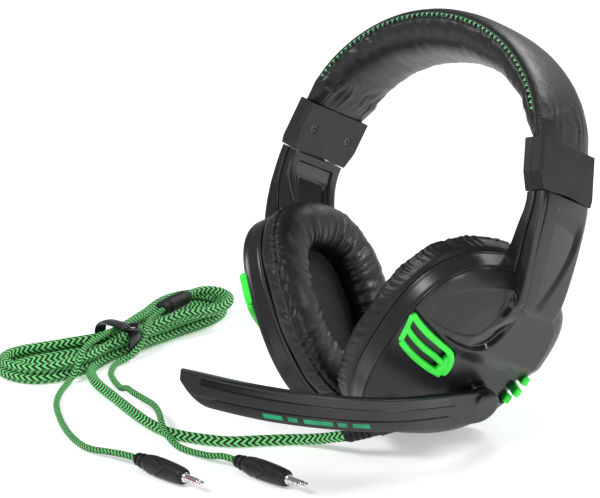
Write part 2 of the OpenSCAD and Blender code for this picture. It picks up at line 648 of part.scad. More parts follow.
mic_plug_turn = -5;
module at_headphone_plug() at_lead() translate(headphone_route[9]) rotate([0, 90, headphone_plug_turn]) children();
module at_mic_plug() at_lead() translate(mic_route[14]) rotate([0, 90, mic_plug_turn]) children();
// Plug: ribbed neck, barrel that swells in the middle, flat nose; the cord's end is at zero.
module plug_body() rotate_extrude() polygon([[0, 0], [3, 0], [3.4, 1.5], [3, 2.6], [3, 3.6], [3.8, 4.6],
    [3.4, 6], [3.4, 7], [4.2, 8], [plug_diameter / 2, 15], [plug_diameter / 2, plug_length - 12],
    [plug_diameter / 2 - 0.6, plug_length - 3], [plug_diameter / 2 - 1, plug_length], [0, plug_length]]);
ring_width = 0.6;
ring_places = [5, 8.2];
jack_radius = jack_diameter / 2;
module plug_pin() translate([0, 0, plug_length]) difference() {
    union() {
        cylinder(h = jack_length - 3.2, r = jack_radius);
        translate([0, 0, jack_length - 3.2]) cylinder(h = 0.9, r1 = jack_radius, r2 = jack_radius - 0.6);
        translate([0, 0, jack_length - 2.3]) cylinder(h = 0.9, r1 = jack_radius - 0.6, r2 = jack_radius - 0.2);
        translate([0, 0, jack_length - 1.4]) cylinder(h = 1.4, r1 = jack_radius - 0.2, r2 = 0.4);
    }
    for (z = ring_places) translate([0, 0, z]) difference() {
        cylinder(h = ring_width, r = jack_radius + cut);
        translate([0, 0, -cut]) cylinder(h = ring_width + 2 * cut, r = jack_radius - 0.5);
    }
}
module plug_rings() translate([0, 0, plug_length]) for (z = ring_places) translate([0, 0, z + 0.01])
    difference() {
        cylinder(h = ring_width - 0.02, r = jack_radius - 0.02);
        translate([0, 0, -cut]) cylinder(h = ring_width + 2 * cut, r = jack_radius - 0.49);
    }

color("#1c1c1e") stand() headband_cushion();
color("#9a9ca0") stand() headband_spring();
color("#232326") left() housing_outer();  // left_housing_outer
color("#2a2a2d") left() housing_inner();  // left_housing_inner
color("#4a4a4e") left() housing_screws();  // left_housing_screws
color("#8c8e92") left() detent_spring();  // left_detent_spring
color("#232326") right() housing_outer();  // right_housing_outer
color("#2a2a2d") right() housing_inner();  // right_housing_inner
color("#4a4a4e") right() housing_screws();  // right_housing_screws
color("#8c8e92") right() detent_spring();  // right_detent_spring
color("#3a3a3e") left() stem();  // left_stem
color("#1a1a1c") left() arm_outer();  // left_arm_outer
color("#2c2c2f") left() arm_inner();  // left_arm_inner
color("#242427") left() at_cup() cup_shell();  // left_cup_shell
color("#303033") left() at_cup() baffle();  // left_baffle
color("#505055") left() at_cup() driver_frame();  // left_driver_frame
color("#77797e") left() at_cup() driver_magnet();  // left_driver_magnet
color("#c8c4b8") left() at_cup() diaphragm();  // left_diaphragm
color("#101012") left() at_cup() speaker_cloth();  // left_speaker_cloth
color("#1c1c1e") left() cushion_in_place();  // left_ear_cushion
color("#50ff5a") left() at_cup() front_vent();  // left_front_vent
color("#50ff5a") left() at_cup() rear_vent();  // left_rear_vent
color("#4a4a4e") left() at_cup() cup_screws();  // left_cup_screws
color("#3a3a3e") right() stem();  // right_stem
color("#1a1a1c") right() arm_outer();  // right_arm_outer
color("#2c2c2f") right() arm_inner();  // right_arm_inner
color("#242427") right() at_cup() cup_shell();  // right_cup_shell
color("#303033") right() at_cup() baffle();  // right_baffle
color("#505055") right() at_cup() driver_frame();  // right_driver_frame
color("#77797e") right() at_cup() driver_magnet();  // right_driver_magnet
color("#c8c4b8") right() at_cup() diaphragm();  // right_diaphragm
color("#101012") right() at_cup() speaker_cloth();  // right_speaker_cloth
color("#1c1c1e") right() cushion_in_place();  // right_ear_cushion
color("#50ff5a") right() at_cup() front_vent();  // right_front_vent
color("#50ff5a") right() at_cup() rear_vent();  // right_rear_vent
color("#4a4a4e") right() at_cup() cup_screws();  // right_cup_screws
color("#151517") left() mic_bracket();
color("#9a9ca0") left() mic_pivot_pin();
color("#1e1e20") left() boom_outer();
color("#28282b") left() boom_inner();
color("#8c8e92") left() mic_capsule();
color("#c8c8cc") left() pivot_washer();
color("#1f6a3a") left() circuit_board();
color("#18181a") strain_relief();
color("#8fe79a") at_lead()  // cord_main
    tube(smooth(main_route, 3), cord_diameter / 2, 10);
color("#7fd88a") at_lead() cord_hank();
color("#18181a") at_lead() cord_tie();
color("#18181a") at_lead() cord_splitter();
color("#8fe79a") at_lead()  // headphone_cord
    tube(smooth(headphone_route, 3), branch_diameter / 2, 8);
color("#18181a") at_headphone_plug() plug_body();  // headphone_plug_body
color("#d8d8dc") at_headphone_plug() plug_pin();  // headphone_plug_pin
color("#b05048") at_headphone_plug() plug_rings();  // headphone_plug_rings
color("#8fe79a") at_lead()  // mic_cord
    tube(smooth(mic_route, 3), branch_diameter / 2, 8);
color("#18181a") at_mic_plug() plug_body();  // mic_plug_body
color("#d8d8dc") at_mic_plug() plug_pin();  // mic_plug_pin
color("#606066") at_mic_plug() plug_rings();  // mic_plug_rings
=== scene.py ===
"""An over-ear gaming headset on a pale floor: every visible surface, in the CAD model's own frame.

Shapes are worked out in millimetres, in the axes of the headset, of a cup or of the boom, and placed in
metres. The headset's axes have zero between the cups; they lean back to stand."""
import json, math
import bpy, bmesh
import numpy as np
from mathutils import Matrix


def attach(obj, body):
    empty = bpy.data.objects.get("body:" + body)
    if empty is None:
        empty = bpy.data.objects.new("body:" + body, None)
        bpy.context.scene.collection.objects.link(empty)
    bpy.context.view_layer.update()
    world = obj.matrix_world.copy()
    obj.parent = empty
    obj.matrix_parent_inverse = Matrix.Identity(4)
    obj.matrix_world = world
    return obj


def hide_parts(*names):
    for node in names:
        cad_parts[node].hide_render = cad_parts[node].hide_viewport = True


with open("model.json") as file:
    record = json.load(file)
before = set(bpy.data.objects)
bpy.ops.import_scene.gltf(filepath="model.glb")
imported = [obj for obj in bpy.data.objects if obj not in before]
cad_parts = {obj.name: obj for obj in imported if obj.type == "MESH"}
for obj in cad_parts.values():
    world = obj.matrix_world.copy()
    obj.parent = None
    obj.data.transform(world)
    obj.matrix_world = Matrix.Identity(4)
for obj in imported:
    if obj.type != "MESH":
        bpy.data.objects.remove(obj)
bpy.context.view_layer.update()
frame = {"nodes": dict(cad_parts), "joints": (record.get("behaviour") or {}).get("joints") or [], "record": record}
nodes = frame["nodes"]
MM = 0.001

# ---------------------------------------------------------------- the stance and the local axes
LEAN = math.radians(26)
CUP_TILT = math.radians(31.5)
HOUSING_TILT = math.radians(13.8)
CUP_X, CUP_Y = 41.0, -7.7
HALF_SPAN, CUP_DROP = 81.5, 104.0
PIVOT = np.array([61.5, 10.0, -31.0])
lean = np.array([[1, 0, 0], [0, math.cos(LEAN), math.sin(LEAN)], [0, -math.sin(LEAN), math.cos(LEAN)]])
hinge = next(j for j in frame["joints"] if j["name"] == "boom_pivot")
# where the headset's zero lies in the frame, in millimetres: it follows from the boom's hinge
STAND = np.array(hinge["pos_m"]) / MM - lean @ PIVOT
SIDES = {"left": 1, "right": -1}


def in_headset(p, side=1):
    """Points in the headset's axes to metres: mirrored for the right, leant back, then lifted."""
    return ((np.asarray(p, float) * [side, 1, 1]) @ lean.T + STAND) * MM


def cup_to_headset(p):
    """A cup's axes are (backwards, up the pad's plane, outwards from the pad joint)."""
    u, w, d = np.moveaxis(np.asarray(p, float), -1, 0)
    return np.stack([CUP_X + d * math.cos(CUP_TILT) + w * math.sin(CUP_TILT), CUP_Y + u,
                     w * math.cos(CUP_TILT) - d * math.sin(CUP_TILT)], -1)


def in_cup(p, side=1):
    return in_headset(cup_to_headset(p), side)


# ---------------------------------------------------------------- small sums used by every shape
def unit(v):
    return v / np.maximum(np.linalg.norm(v, axis=-1, keepdims=True), 1e-12)


def smooth_step(x, low, high):
    """0 below low, 1 above high, and 3t^2 - 2t^3 between them."""
    t = np.clip((x - low) / (high - low), 0, 1)
    return t * t * (3 - 2 * t)


def bump(x, middle, width):
    """A bell curve of height 1."""
    return np.exp(-((x - middle) / width) ** 2)


def ripples(seed, waves, *coordinates):
    """A sum of sine waves of falling height, each with its own random direction and phase; about -1 to 1.

    waves is (lowest, highest) number of waves per unit of each coordinate."""
    rng = np.random.default_rng(seed)
    total = 0.0
    count = 9
    for k in range(count):
        reach = waves[0] * (waves[1] / waves[0]) ** (k / (count - 1))
        angle = rng.normal(0, 1, len(coordinates))
        angle /= np.linalg.norm(angle)
        phase = rng.uniform(0, 2 * math.pi)
        total = total + np.sin(2 * math.pi * reach * sum(a * c for a, c in zip(angle, coordinates)) + phase) \
            / (1 + 0.35 * k)
    return total / 3.2


def round_ring_noise(seed, angle, orders):
    """Noise that closes on itself: sines of whole-number order round a ring, each order in random phase."""
    rng = np.random.default_rng(seed)
    total = 0.0
    for order in orders:
        total = total + np.sin(order * angle + rng.uniform(0, 2 * math.pi)) * rng.uniform(0.5, 1)
    return total / math.sqrt(len(orders))


def through(points, steps):
    """A smooth curve through chosen points: between two, the Catmull-Rom cubic of the four nearest."""
    p = np.asarray(points, float)
    p = np.vstack([2 * p[0] - p[1], p, 2 * p[-1] - p[-2]])
    t = (np.arange(steps) / steps)[None, :, None]
    a, b, c, d = (p[i:len(p) - 3 + i][:, None] for i in range(4))
    q = 0.5 * (2 * b + (c - a) * t + (2 * a - 5 * b + 4 * c - d) * t ** 2 + (3 * b - a - 3 * c + d) * t ** 3)
    return np.vstack([q.reshape(-1, p.shape[1]), p[-2]])


def run_of(path):
    """How far along the path each of its points is."""
    return np.concatenate([[0], np.cumsum(np.linalg.norm(np.diff(path, axis=0), axis=1))])


def even(path, step):
    """The same path with points one step apart, which also evens out its speed."""
    run = run_of(path)
    s = np.linspace(0, run[-1], max(int(run[-1] / step), 2) + 1)
    return np.stack([np.interp(s, run, path[:, i]) for i in range(path.shape[1])], -1)


def frames_along(path, up=(0, 0, 1)):
    """At each point of a path, a level way across it, and the way up square to both."""
    ahead = unit(np.gradient(path, axis=0))
    across = unit(np.cross(ahead, np.asarray(up, float)))
    return across, np.cross(across, ahead)


# ---------------------------------------------------------------- meshes
def grid_faces(rows, columns, close_rows=False, close_columns=False, start=0):
    """Quads between neighbours of a rows x columns grid; closing one way joins its last line to its first."""
    i = np.arange(rows if close_rows else rows - 1)[:, None]
    j = np.arange(columns if close_columns else columns - 1)[None, :]
    i2, j2 = (i + 1) % rows, (j + 1) % columns
    return (start + np.stack([i * columns + j, i * columns + j2, i2 * columns + j2, i2 * columns + j],
                             -1)).reshape(-1, 4)


def fan(ring, hub):
    """Triangles from a hub to each edge of a closed ring of point numbers."""
    ring = np.asarray(ring)
    return np.stack([np.full(len(ring), hub), ring, np.roll(ring, -1)], -1)


def mesh_of(name, points, faces, uv=None, attributes=None, crease=None, outwards=True):
    """Points in metres and a list of face arrays become an object. uv and attributes hold a value per point.

    Where the signed volume of a closed mesh, a sixth of the sum of a . (b x c), is negative, its faces are
    turned to point outwards."""
    points = np.asarray(points, float).reshape(-1, 3)
    faces = [np.asarray(f) for f in (faces if isinstance(faces, list) else [faces])]
    if outwards:
        volume = 0.0
        for f in faces:
            for k in range(1, f.shape[1] - 1):
                a, b, c = points[f[:, 0]], points[f[:, k]], points[f[:, k + 1]]
                volume += np.einsum("ij,ij->", a - points[0], np.cross(b - points[0], c - points[0]))
        if volume < 0:
            faces = [f[:, ::-1] for f in faces]
    corners = np.concatenate([f.ravel() for f in faces])
    sizes = np.concatenate([np.full(len(f), f.shape[1]) for f in faces])
    mesh = bpy.data.meshes.new(name)
    mesh.vertices.add(len(points))
    mesh.vertices.foreach_set("co", points.ravel())
    mesh.loops.add(len(corners))
    mesh.loops.foreach_set("vertex_index", corners)
    mesh.polygons.add(len(sizes))
    mesh.polygons.foreach_set("loop_start", np.concatenate([[0], np.cumsum(sizes)[:-1]]))
    mesh.update(calc_edges=True)
    mesh.validate()
    mesh.polygons.foreach_set("use_smooth", np.ones(len(mesh.polygons), bool))
    if uv is not None:
        layer = mesh.uv_layers.new(name="UVMap")
        order = np.empty(len(mesh.loops), int)
        mesh.loops.foreach_get("vertex_index", order)
        layer.data.foreach_set("uv", np.asarray(uv, float).reshape(-1, 2)[order].ravel())
    for key, values in (attributes or {}).items():
        data = mesh.attributes.new(key, "FLOAT", "POINT")
        data.data.foreach_set("value", np.asarray(values, float).ravel())
    if crease is not None:
        mesh.set_sharp_from_angle(angle=math.radians(crease))
    thing = bpy.data.objects.new(name, mesh)
    bpy.context.scene.collection.objects.link(thing)
    return thing


def finish_piece(thing, body, finish, *stands_for, slot=None):
    """Gives a piece its body and its finish, and hides the CAD nodes it stands for."""
    thing.data.materials.clear()
    thing.data.materials.append(finish)
    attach(thing, body)
    if stands_for:
        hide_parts(*stands_for)
        slot = slot or next(s["material_slot"] for s in frame["record"]["subparts"]
                            if s["node"] == stands_for[0])
    return thing


def lofted(name, rings, **more):
    """A closed skin over rings of points, (ring, point, xyz), with a hub in the middle of each end."""
    count, sides = rings.shape[:2]
    points = np.vstack([rings.reshape(-1, 3), rings[0].mean(0), rings[-1].mean(0)])
    faces = [grid_faces(count, sides, close_columns=True), fan(np.arange(sides), count * sides)[:, ::-1],
             fan(np.arange(sides) + (count - 1) * sides, count * sides + 1)]
    if more.get("uv") is not None:
        more["uv"] = np.vstack([more["uv"].reshape(-1, 2), np.zeros((2, 2))])
    if more.get("attributes"):
        more["attributes"] = {key: np.concatenate([np.ravel(values), [0, 0]])
                              for key, values in more["attributes"].items()}
    return mesh_of(name, points, faces, **more)


def tube(name, path, radius, sides=14, uv_scale=None, flat=1.0):
    """A round skin along a path, in metres. Its UVs are turns round it and lengths of uv_scale along it."""
    across, up = frames_along(path)
    a = np.linspace(0, 2 * math.pi, sides, endpoint=False)
    r = np.broadcast_to(radius, len(path))[:, None, None]
    rings = path[:, None] + r * (np.cos(a)[None, :, None] * across[:, None]
                                 + flat * np.sin(a)[None, :, None] * up[:, None])
    uv = None
    if uv_scale:
        uv = np.stack(np.broadcast_arrays((a / (2 * math.pi))[None], (run_of(path) / uv_scale)[:, None]), -1)
    return lofted(name, rings, uv=uv)


def turned_on_axis(profile, base, ahead, sides=48):
    """Rings of a profile, (distance along, radius) points, turned round an axis from base, in millimetres."""
    profile = np.asarray(profile, float)
    ahead = unit(np.asarray(ahead, float))
    across = unit(np.cross(ahead, [0.13, 0.31, 0.94]))
    up = np.cross(across, ahead)
    a = np.linspace(0, 2 * math.pi, sides, endpoint=False)[None, :, None]
    return np.asarray(base, float) + profile[:, None, :1] * ahead \
        + profile[:, None, 1:] * (np.cos(a) * across + np.sin(a) * up)


def finished_copy(node, name, edge, angle=28, segments=3):
    """A copy of a CAD node with its loose triangles joined, flat faces made whole and its edges rounded."""
    mesh = nodes[node].data.copy()
    mesh.name = name
    work = bmesh.new()
    work.from_mesh(mesh)
    bmesh.ops.remove_doubles(work, verts=work.verts, dist=2e-6)
    bmesh.ops.dissolve_limit(work, angle_limit=math.radians(1.5), verts=work.verts, edges=work.edges)
    work.to_mesh(mesh)
    work.free()
    mesh.polygons.foreach_set("use_smooth", np.ones(len(mesh.polygons), bool))
    mesh.set_sharp_from_angle(angle=math.radians(angle))
    thing = bpy.data.objects.new(name, mesh)
    bpy.context.scene.collection.objects.link(thing)
    if edge:
        bevel = thing.modifiers.new("rounded edges", "BEVEL")
        bevel.width, bevel.segments, bevel.limit_method = edge * MM, segments, "ANGLE"
        bevel.angle_limit, bevel.harden_normals = math.radians(angle), True
        bevel.use_clamp_overlap = True
    return thing


# ---------------------------------------------------------------- shader sums
class Wire:
    """One output in a material's node tree, or a plain number; arithmetic on it adds Math nodes."""
    def __init__(self, tree, socket):
        self.tree, self.socket = tree, socket

    def math(self, operation, *others):
        return Paint.node_in(self.tree, "ShaderNodeMath", {"operation": operation},
                             {i: v for i, v in enumerate((self,) + others)})

    def __add__(self, o): return self.math("ADD", o)
    def __sub__(self, o): return self.math("SUBTRACT", o)
    def __mul__(self, o): return self.math("MULTIPLY", o)
    def __truediv__(self, o): return self.math("DIVIDE", o)
    def __rsub__(self, o): return (self * -1) + o
    __radd__, __rmul__ = __add__, __mul__

    def ramp(self, low, high):
        """Smoothly from 0 at low to 1 at high."""
        return Paint.node_in(self.tree, "ShaderNodeMapRange", {"interpolation_type": "SMOOTHSTEP"},
                             {"Value": self, "From Min": low, "From Max": high})


class Paint:
    """A material with one Principled shader, and the calls that fill in its node tree."""
    def __init__(self, name, color, roughness, **settings):
        self.material = bpy.data.materials.new(name)
        self.material.use_nodes = True
        self.tree = self.material.node_tree
        self.shader = next(n for n in self.tree.nodes if n.type == "BSDF_PRINCIPLED")
        self.set("Base Color", tuple(color) + (1,))
        self.set("Roughness", roughness)
        for key, value in settings.items():
            self.set(key.replace("_", " "), value)
        self.material.diffuse_color = tuple(color) + (1,)
        self.heights = []

    def set(self, socket, value):
        if isinstance(value, Wire):
            self.tree.links.new(value.socket, self.shader.inputs[socket])
        else:
            self.shader.inputs[socket].default_value = value

    @staticmethod
    def node_in(tree, kind, settings, inputs, output=0):
        node = tree.nodes.new(kind)
        for key, value in settings.items():
            setattr(node, key, value)
        for key, value in inputs.items():
            socket = node.inputs[key]
            if isinstance(value, Wire):
                tree.links.new(value.socket, socket)
            else:
                socket.default_value = value
        return Wire(tree, node.outputs[output])

    def node(self, kind, settings=None, output=0, **inputs):
        names = {k.replace("_", " "): v for k, v in inputs.items()}
        return self.node_in(self.tree, kind, settings or {}, names, output)

    def place(self):
        return self.node("ShaderNodeTexCoord", output="Object")

    def noise(self, scale, detail=3.0, rough=0.55, where=None, stretch=None):
        """Cloudy noise with this many clouds to a metre."""
        where = where or self.place()
        if stretch:
            where = self.node("ShaderNodeMapping", Vector=where, Scale=stretch)
        return self.node("ShaderNodeTexNoise", Vector=where, Scale=scale, Detail=detail, Roughness=rough)

    def cells(self, scale, where):
        """How far a point is from the edge of its cell, with this many cells to a metre."""
        return self.node("ShaderNodeTexVoronoi", {"feature": "DISTANCE_TO_EDGE"}, Vector=where, Scale=scale)

    def apart(self, vector):
        """The three numbers of a vector."""
        parts = self.node("ShaderNodeSeparateXYZ", Vector=vector).socket.node
        return [Wire(self.tree, output) for output in parts.outputs]

    def attribute(self, name):
        return self.node("ShaderNodeAttribute", {"attribute_name": name}, output="Fac")

    def mix(self, share, a, b):
        """Colours a and b mixed by share; either may be a colour triple or a wire."""
        a, b = (c if isinstance(c, Wire) else tuple(c) + (1,) for c in (a, b))
        return self.node_in(self.tree, "ShaderNodeMix", {"data_type": "RGBA"}, {0: share, 6: a, 7: b}, 2)

    def relief(self, height, depth, strength=1.0):
        """Bumps of this depth in millimetres; each call adds to what is there."""
        self.heights.append((height, depth, strength))

    def done(self):
        last = None
        for height, depth, strength in self.heights:
            inputs = {"Height": height, "Distance": depth * MM, "Strength": strength}
            if last:
                inputs["Normal"] = last
            last = self.node_in(self.tree, "ShaderNodeBump", {}, inputs)
        if last:
            self.set("Normal", last)
        return self.material


# ---------------------------------------------------------------- finishes
def moulded(name, color, roughness, grain=0.02, sheen_marks=0.06, coat=0.0, lift=0.25):
    """Moulded plastic: a fine spark-eroded grain, cloudy polish and a faint mottle of its colour."""
    p = Paint(name, color, roughness, Coat_Weight=coat, Coat_Roughness=0.06, IOR=1.42)
    clouds = p.noise(38, 4)
    p.set("Roughness", clouds * (2 * sheen_marks) + (roughness - sheen_marks))
    mottle = p.noise(140, 3)
    p.set("Base Color", p.mix(mottle.ramp(0.3, 0.7), [c * (1 - lift) for c in color],
                              [c * (1 + lift) for c in color]))
    p.relief(p.noise(2600, 2, 0.6), grain)
    p.relief(p.noise(60, 2), 0.12, 0.5)
    return p.done()


def leatherette(name, color, roughness, pebble=0.05, crease=0.25):
    """Soft coated cloth: pebbled cells with fine cracks between them, creases and worn, shinier crowns; its colour
    is painted shade, darker in the cracks and lighter on the crowns, mixed with a random mottle.
    """
    p = Paint(name, color, roughness, Sheen_Weight=0.03, Sheen_Roughness=0.45, IOR=1.48)
    drift = p.noise(300, 2)
    wander = p.node("ShaderNodeTexNoise", output="Color", Vector=p.place(), Scale=260.0)
    spread = p.node_in(p.tree, "ShaderNodeVectorMath", {"operation": "SCALE"}, {0: wander, "Scale": 0.0016})
    where = p.node_in(p.tree, "ShaderNodeVectorMath", {"operation": "ADD"}, {0: p.place(), 1: spread})
    pebbles = p.cells(950, where).ramp(0.0, 0.3)
    folds = p.noise(95, 5, 0.62)
    p.relief(pebbles, pebble)
    p.relief(folds, crease)
    p.set("Roughness", (pebbles * -0.08) + (folds * 0.12) + (roughness + 0.01))
    # painted shade: half of the colour mix follows the pebbles' relief, darkest in the cracks and lightest on the
    # crowns; the other half is a random mottle
    dark = [c * 0.55 for c in color]
    light = [c * 1.35 for c in color]
    p.set("Base Color", p.mix((pebbles * 0.5) + (drift * 0.5), dark, light))
    return p.done()


def braid_finish(name, teeth, pitch, pale, dark):
    """Braided sleeve: rows of V-shaped stripes in two colours, raised strand by strand.

    UV u is turns round the cord and v is diameters along it. A stripe number is v / pitch plus a
    triangle wave of u; its fraction says which colour, and how near a strand's edge the point is."""
    p = Paint(name, pale, 0.62, Sheen_Weight=0.04, Sheen_Roughness=0.5)
    u, v, _ = p.apart(p.node("ShaderNodeUVMap", {"uv_map": "UVMap"}))
    zigzag = (u * teeth).math("PINGPONG", 0.5) * 1.5
    stripe = (v / pitch + zigzag).math("FRACT")
    wobble = p.noise(900, 2) * 0.12
    green = (stripe + wobble - 0.06).math("PINGPONG", 0.5).ramp(0.23, 0.31)
    strand = (stripe * 4).math("FRACT").math("PINGPONG", 0.5)
    tooth = (u * teeth * 4).math("FRACT").math("PINGPONG", 0.5)
    fibre = p.noise(5200, 3)
    p.set("Base Color", p.mix(green, p.mix(fibre, [c * 0.6 for c in dark], [c * 2.0 for c in dark]),
                              p.mix(fibre, [c * 0.75 for c in pale], [min(c * 1.15, 1) for c in pale])))
    p.set("Roughness", (fibre * 0.2) + 0.5)
    p.relief(strand.ramp(0.0, 0.3), 0.16)
    p.relief(tooth.ramp(0.0, 0.35), 0.08)
    p.relief(fibre, 0.05)
    return p.done()


def metal(name, color, roughness, scratch=0.02, stretch=(1.0, 1.0, 1.0)):
    """Metal with fine drawn scratches and a cloudy polish."""
    p = Paint(name, color, roughness, Metallic=1.0)
    lines = p.noise(2400, 3, stretch=stretch)
    p.set("Roughness", (lines * 0.14) + (roughness - 0.05))
    p.set("Base Color", p.mix(p.noise(220, 2), [c * 0.86 for c in color], color))
    p.relief(lines, scratch)
    return p.done()


def cloth(name, color, threads=1400):
    """Plain-woven speaker cloth: two sets of round threads, one over the other in turn."""
    p = Paint(name, color, 0.9, Sheen_Weight=0.25)
    _, y, z = p.apart(p.place())
    warp = (y * threads).math("SINE")
    weft = (z * threads).math("SINE")
    weave = warp.math("MAXIMUM", weft)
    p.relief(weave.ramp(-1.0, 1.0), 0.15)
    # painted shade: the colour is darker in the hollows between the threads and lighter on their crowns, following
    # the weave's relief
    p.set("Base Color", p.mix(weave.ramp(-0.6, 1.0), [c * 0.35 for c in color], [c * 1.7 for c in color]))
    return p.done()


def shell_finish():
    """Satin plastic whose gloss attribute marks the polished sweep round the oval recess."""
    color = (0.011, 0.011, 0.0125)
    p = Paint("cup shell plastic", color, 0.3, IOR=1.5)
    gloss = p.attribute("gloss").ramp(0.25, 0.75)
    clouds = p.noise(38, 4)
    p.set("Roughness", (clouds * 0.1 + 0.26) * (1 - gloss) + gloss * 0.09)
    p.set("Coat Weight", gloss * 0.25)
    p.shader.inputs["Coat Roughness"].default_value = 0.05
    satin = p.mix(p.noise(140, 3), [c * 0.85 for c in color], [c * 1.2 for c in color])
    p.set("Base Color", p.mix(gloss, satin, (0.0016, 0.0016, 0.002)))
    p.relief(p.noise(2600, 2, 0.6), 0.02)
    p.relief(p.noise(60, 2), 0.12, 0.5)
    return p.done()


HOUSING = moulded("slider housing plastic", (0.010, 0.010, 0.0115), 0.42)
INNER = moulded("inner grey plastic", (0.014, 0.014, 0.0155), 0.42)
BRACKET = moulded("gloss black plastic", (0.004, 0.004, 0.0045), 0.12, grain=0.004, sheen_marks=0.03,
                  coat=0.25)
STEM = moulded("stem plastic", (0.014, 0.014, 0.016), 0.3)
GREEN = moulded("green plastic", (0.05, 0.90, 0.07), 0.36, grain=0.01, lift=0.1)
BAND = leatherette("headband leatherette", (0.0085, 0.009, 0.0085), 0.34)
PAD = leatherette("ear cushion leatherette", (0.0075, 0.0075, 0.008), 0.33, crease=0.3)
SHELL = shell_finish()
BRAID = braid_finish("lead braid", 4, 0.62, (0.22, 1.0, 0.25), (0.0025, 0.004, 0.003))
THIN_BRAID = braid_finish("branch braid", 3, 0.72, (0.20, 1.0, 0.23), (0.0025, 0.004, 0.003))
RUBBER = moulded("soft black rubber", (0.008, 0.008, 0.009), 0.6, grain=0.05)
PLUG_GRIP = moulded("plug grip", (0.010, 0.010, 0.011), 0.48, grain=0.06)
TIE = moulded("tie plastic", (0.012, 0.012, 0.014), 0.2, coat=0.4)
STEEL = metal("spring steel", (0.55, 0.55, 0.57), 0.3, stretch=(1, 1, 30))
SCREW = metal("blackened screw", (0.09, 0.09, 0.10), 0.38)
NICKEL = metal("nickel jack", (0.82, 0.81, 0.80), 0.16, 0.006)
MAGNET = metal("magnet steel", (0.42, 0.43, 0.46), 0.35)
CAPSULE = metal("microphone capsule", (0.5, 0.5, 0.52), 0.3)
CLOTH = cloth("speaker cloth", (0.004, 0.004, 0.0045))
FILM = moulded("diaphragm film", (0.5, 0.48, 0.42), 0.35)
BOARD = moulded("circuit board lacquer", (0.02, 0.2, 0.06), 0.3)
NYLON = moulded("washer nylon", (0.7, 0.7, 0.72), 0.4, grain=0.01, lift=0.05)
RED_RING = moulded("red insulating ring", (0.5, 0.1, 0.08), 0.4)
GREY_RING = moulded("grey insulating ring", (0.2, 0.2, 0.22), 0.4)
THREAD = moulded("stitching thread", (0.22, 0.72, 0.30), 0.6, grain=0.05, lift=0.15)
MARK = moulded("printed green mark", (0.015, 0.30, 0.13), 0.4, grain=0.0)

# ---------------------------------------------------------------- camera
AZIMUTH, ELEVATION, ROLL = (math.radians(a) for a in (43.57, 15.77, -2.33))
EYE = STAND + [838.0, -947.0, 397.0]
back = np.array([math.sin(AZIMUTH) * math.cos(ELEVATION), -math.cos(AZIMUTH) * math.cos(ELEVATION),
                 math.sin(ELEVATION)])
level = np.array([math.cos(AZIMUTH), math.sin(AZIMUTH), 0])
right_way = math.cos(ROLL) * level + math.sin(ROLL) * np.cross(back, level)
up_way = np.cross(back, right_way)
camera = bpy.data.objects.new("camera", bpy.data.cameras.new("camera"))
bpy.context.scene.collection.objects.link(camera)
camera.data.lens, camera.data.sensor_width, camera.data.clip_end = 154.53, 36.0, 20.0
turn = Matrix(np.stack([right_way, up_way, back], -1).tolist()).to_4x4()
camera.matrix_world = Matrix.Translation((EYE * MM).tolist()) @ turn
bpy.context.scene.camera = camera

# ---------------------------------------------------------------- the lead: facts first, then its route
# the lead's own zero is on the floor below the headset's; all in millimetres
LEAD = np.array([0, STAND[1], 0])
CORD, BRANCH = 5.6, 3.4
FLOOR = 0.2
# how high the middle of each cord is where it lies on the floor
low, thin = FLOOR + CORD / 2, FLOOR + BRANCH / 2
# seen from above, the middles of the hank's two ends and of its tied waist
TURN_A, WAIST, TURN_B = np.array([-210, -57]), np.array([-200, -9]), np.array([-215, 63])


def hank_middle(y):
    """The middle line of the hank, bent at its waist."""
    return np.interp(y, [TURN_A[1] - 30, TURN_A[1], WAIST[1], TURN_B[1], TURN_B[1] + 30],
                     [TURN_A[0] - 3, TURN_A[0], WAIST[0], TURN_B[0], TURN_B[0] - 3])


def hank_turn(start, waist, end_a, end_b, z, rise):
    """Once round the hank from its waist: up the near side, round, back down, round the other end.

    start and waist are how far from the middle line the run passes the waist, going up and coming back.
    Each end is a round of radius end_a or end_b, with points a quarter and an eighth of a turn apart."""
    diagonal = 0.74
    half_b = [(0.72 * end_b, 30), (end_b, TURN_B[1] - 5), (diagonal * end_b, TURN_B[1] + diagonal * end_b)]
    half_a = [(-diagonal * end_a, -34), (-end_a, TURN_A[1]),
              (-diagonal * end_a, TURN_A[1] - diagonal * end_a)]
    over_b, over_a = ([(-x, y) for x, y in half[::-1]] for half in (half_b, half_a))
    shape = np.array([(start, WAIST[1])] + half_b + [(0, TURN_B[1] + end_b)] + over_b
                     + [(-waist, WAIST[1])] + half_a + [(0, TURN_A[1] - end_a)] + over_a, float)
    share = np.linspace(0, 1, len(shape))
    lift = 1.0 * (shape[:, 1] == WAIST[1]) + rise * smooth_step(share, 0.72, 1.0)
    return np.stack([hank_middle(shape[:, 1]) + shape[:, 0], shape[:, 1], z + lift], -1)


main_points = np.vstack([
    [[19, -52.6, 12.2], [16, -54, 11], [9, -54.5, 8.8], [0, -54.5, 6], [-9, -56, 4.0], [-17, -59, low],
     [-28, -69, low], [-41, -81, low], [-60, -88, low], [-76, -90, low], [-95, -86, low], [-117, -78, low],
     [-139, -69, low], [-161, -60, low], [-175, -52, low], [-186, -42, low], [-191, -26, low + 0.4]],
    hank_turn(8.7, 8.7, 21, 19.5, low, 0.0), hank_turn(2.9, 2.9, 14.8, 13.2, low, 5.6),
    hank_turn(8.6, 8.6, 20, 18.6, low + 5.7, 0.0),
    [[-197.2, -9, low + 6.9], [-194, 14, low + 8.5], [-189.5, 34, low + 11], [-185.2, 50, low + 9.6],
     [-185.8, 64, low + 9.8], [-192, 73.6, low + 11], [-201.5, 76.2, low + 12.2], [-209, 71.8, low + 12.9],
     [-211.4, 63.6, 16.0], [-210.0, 56, 15.9]]])
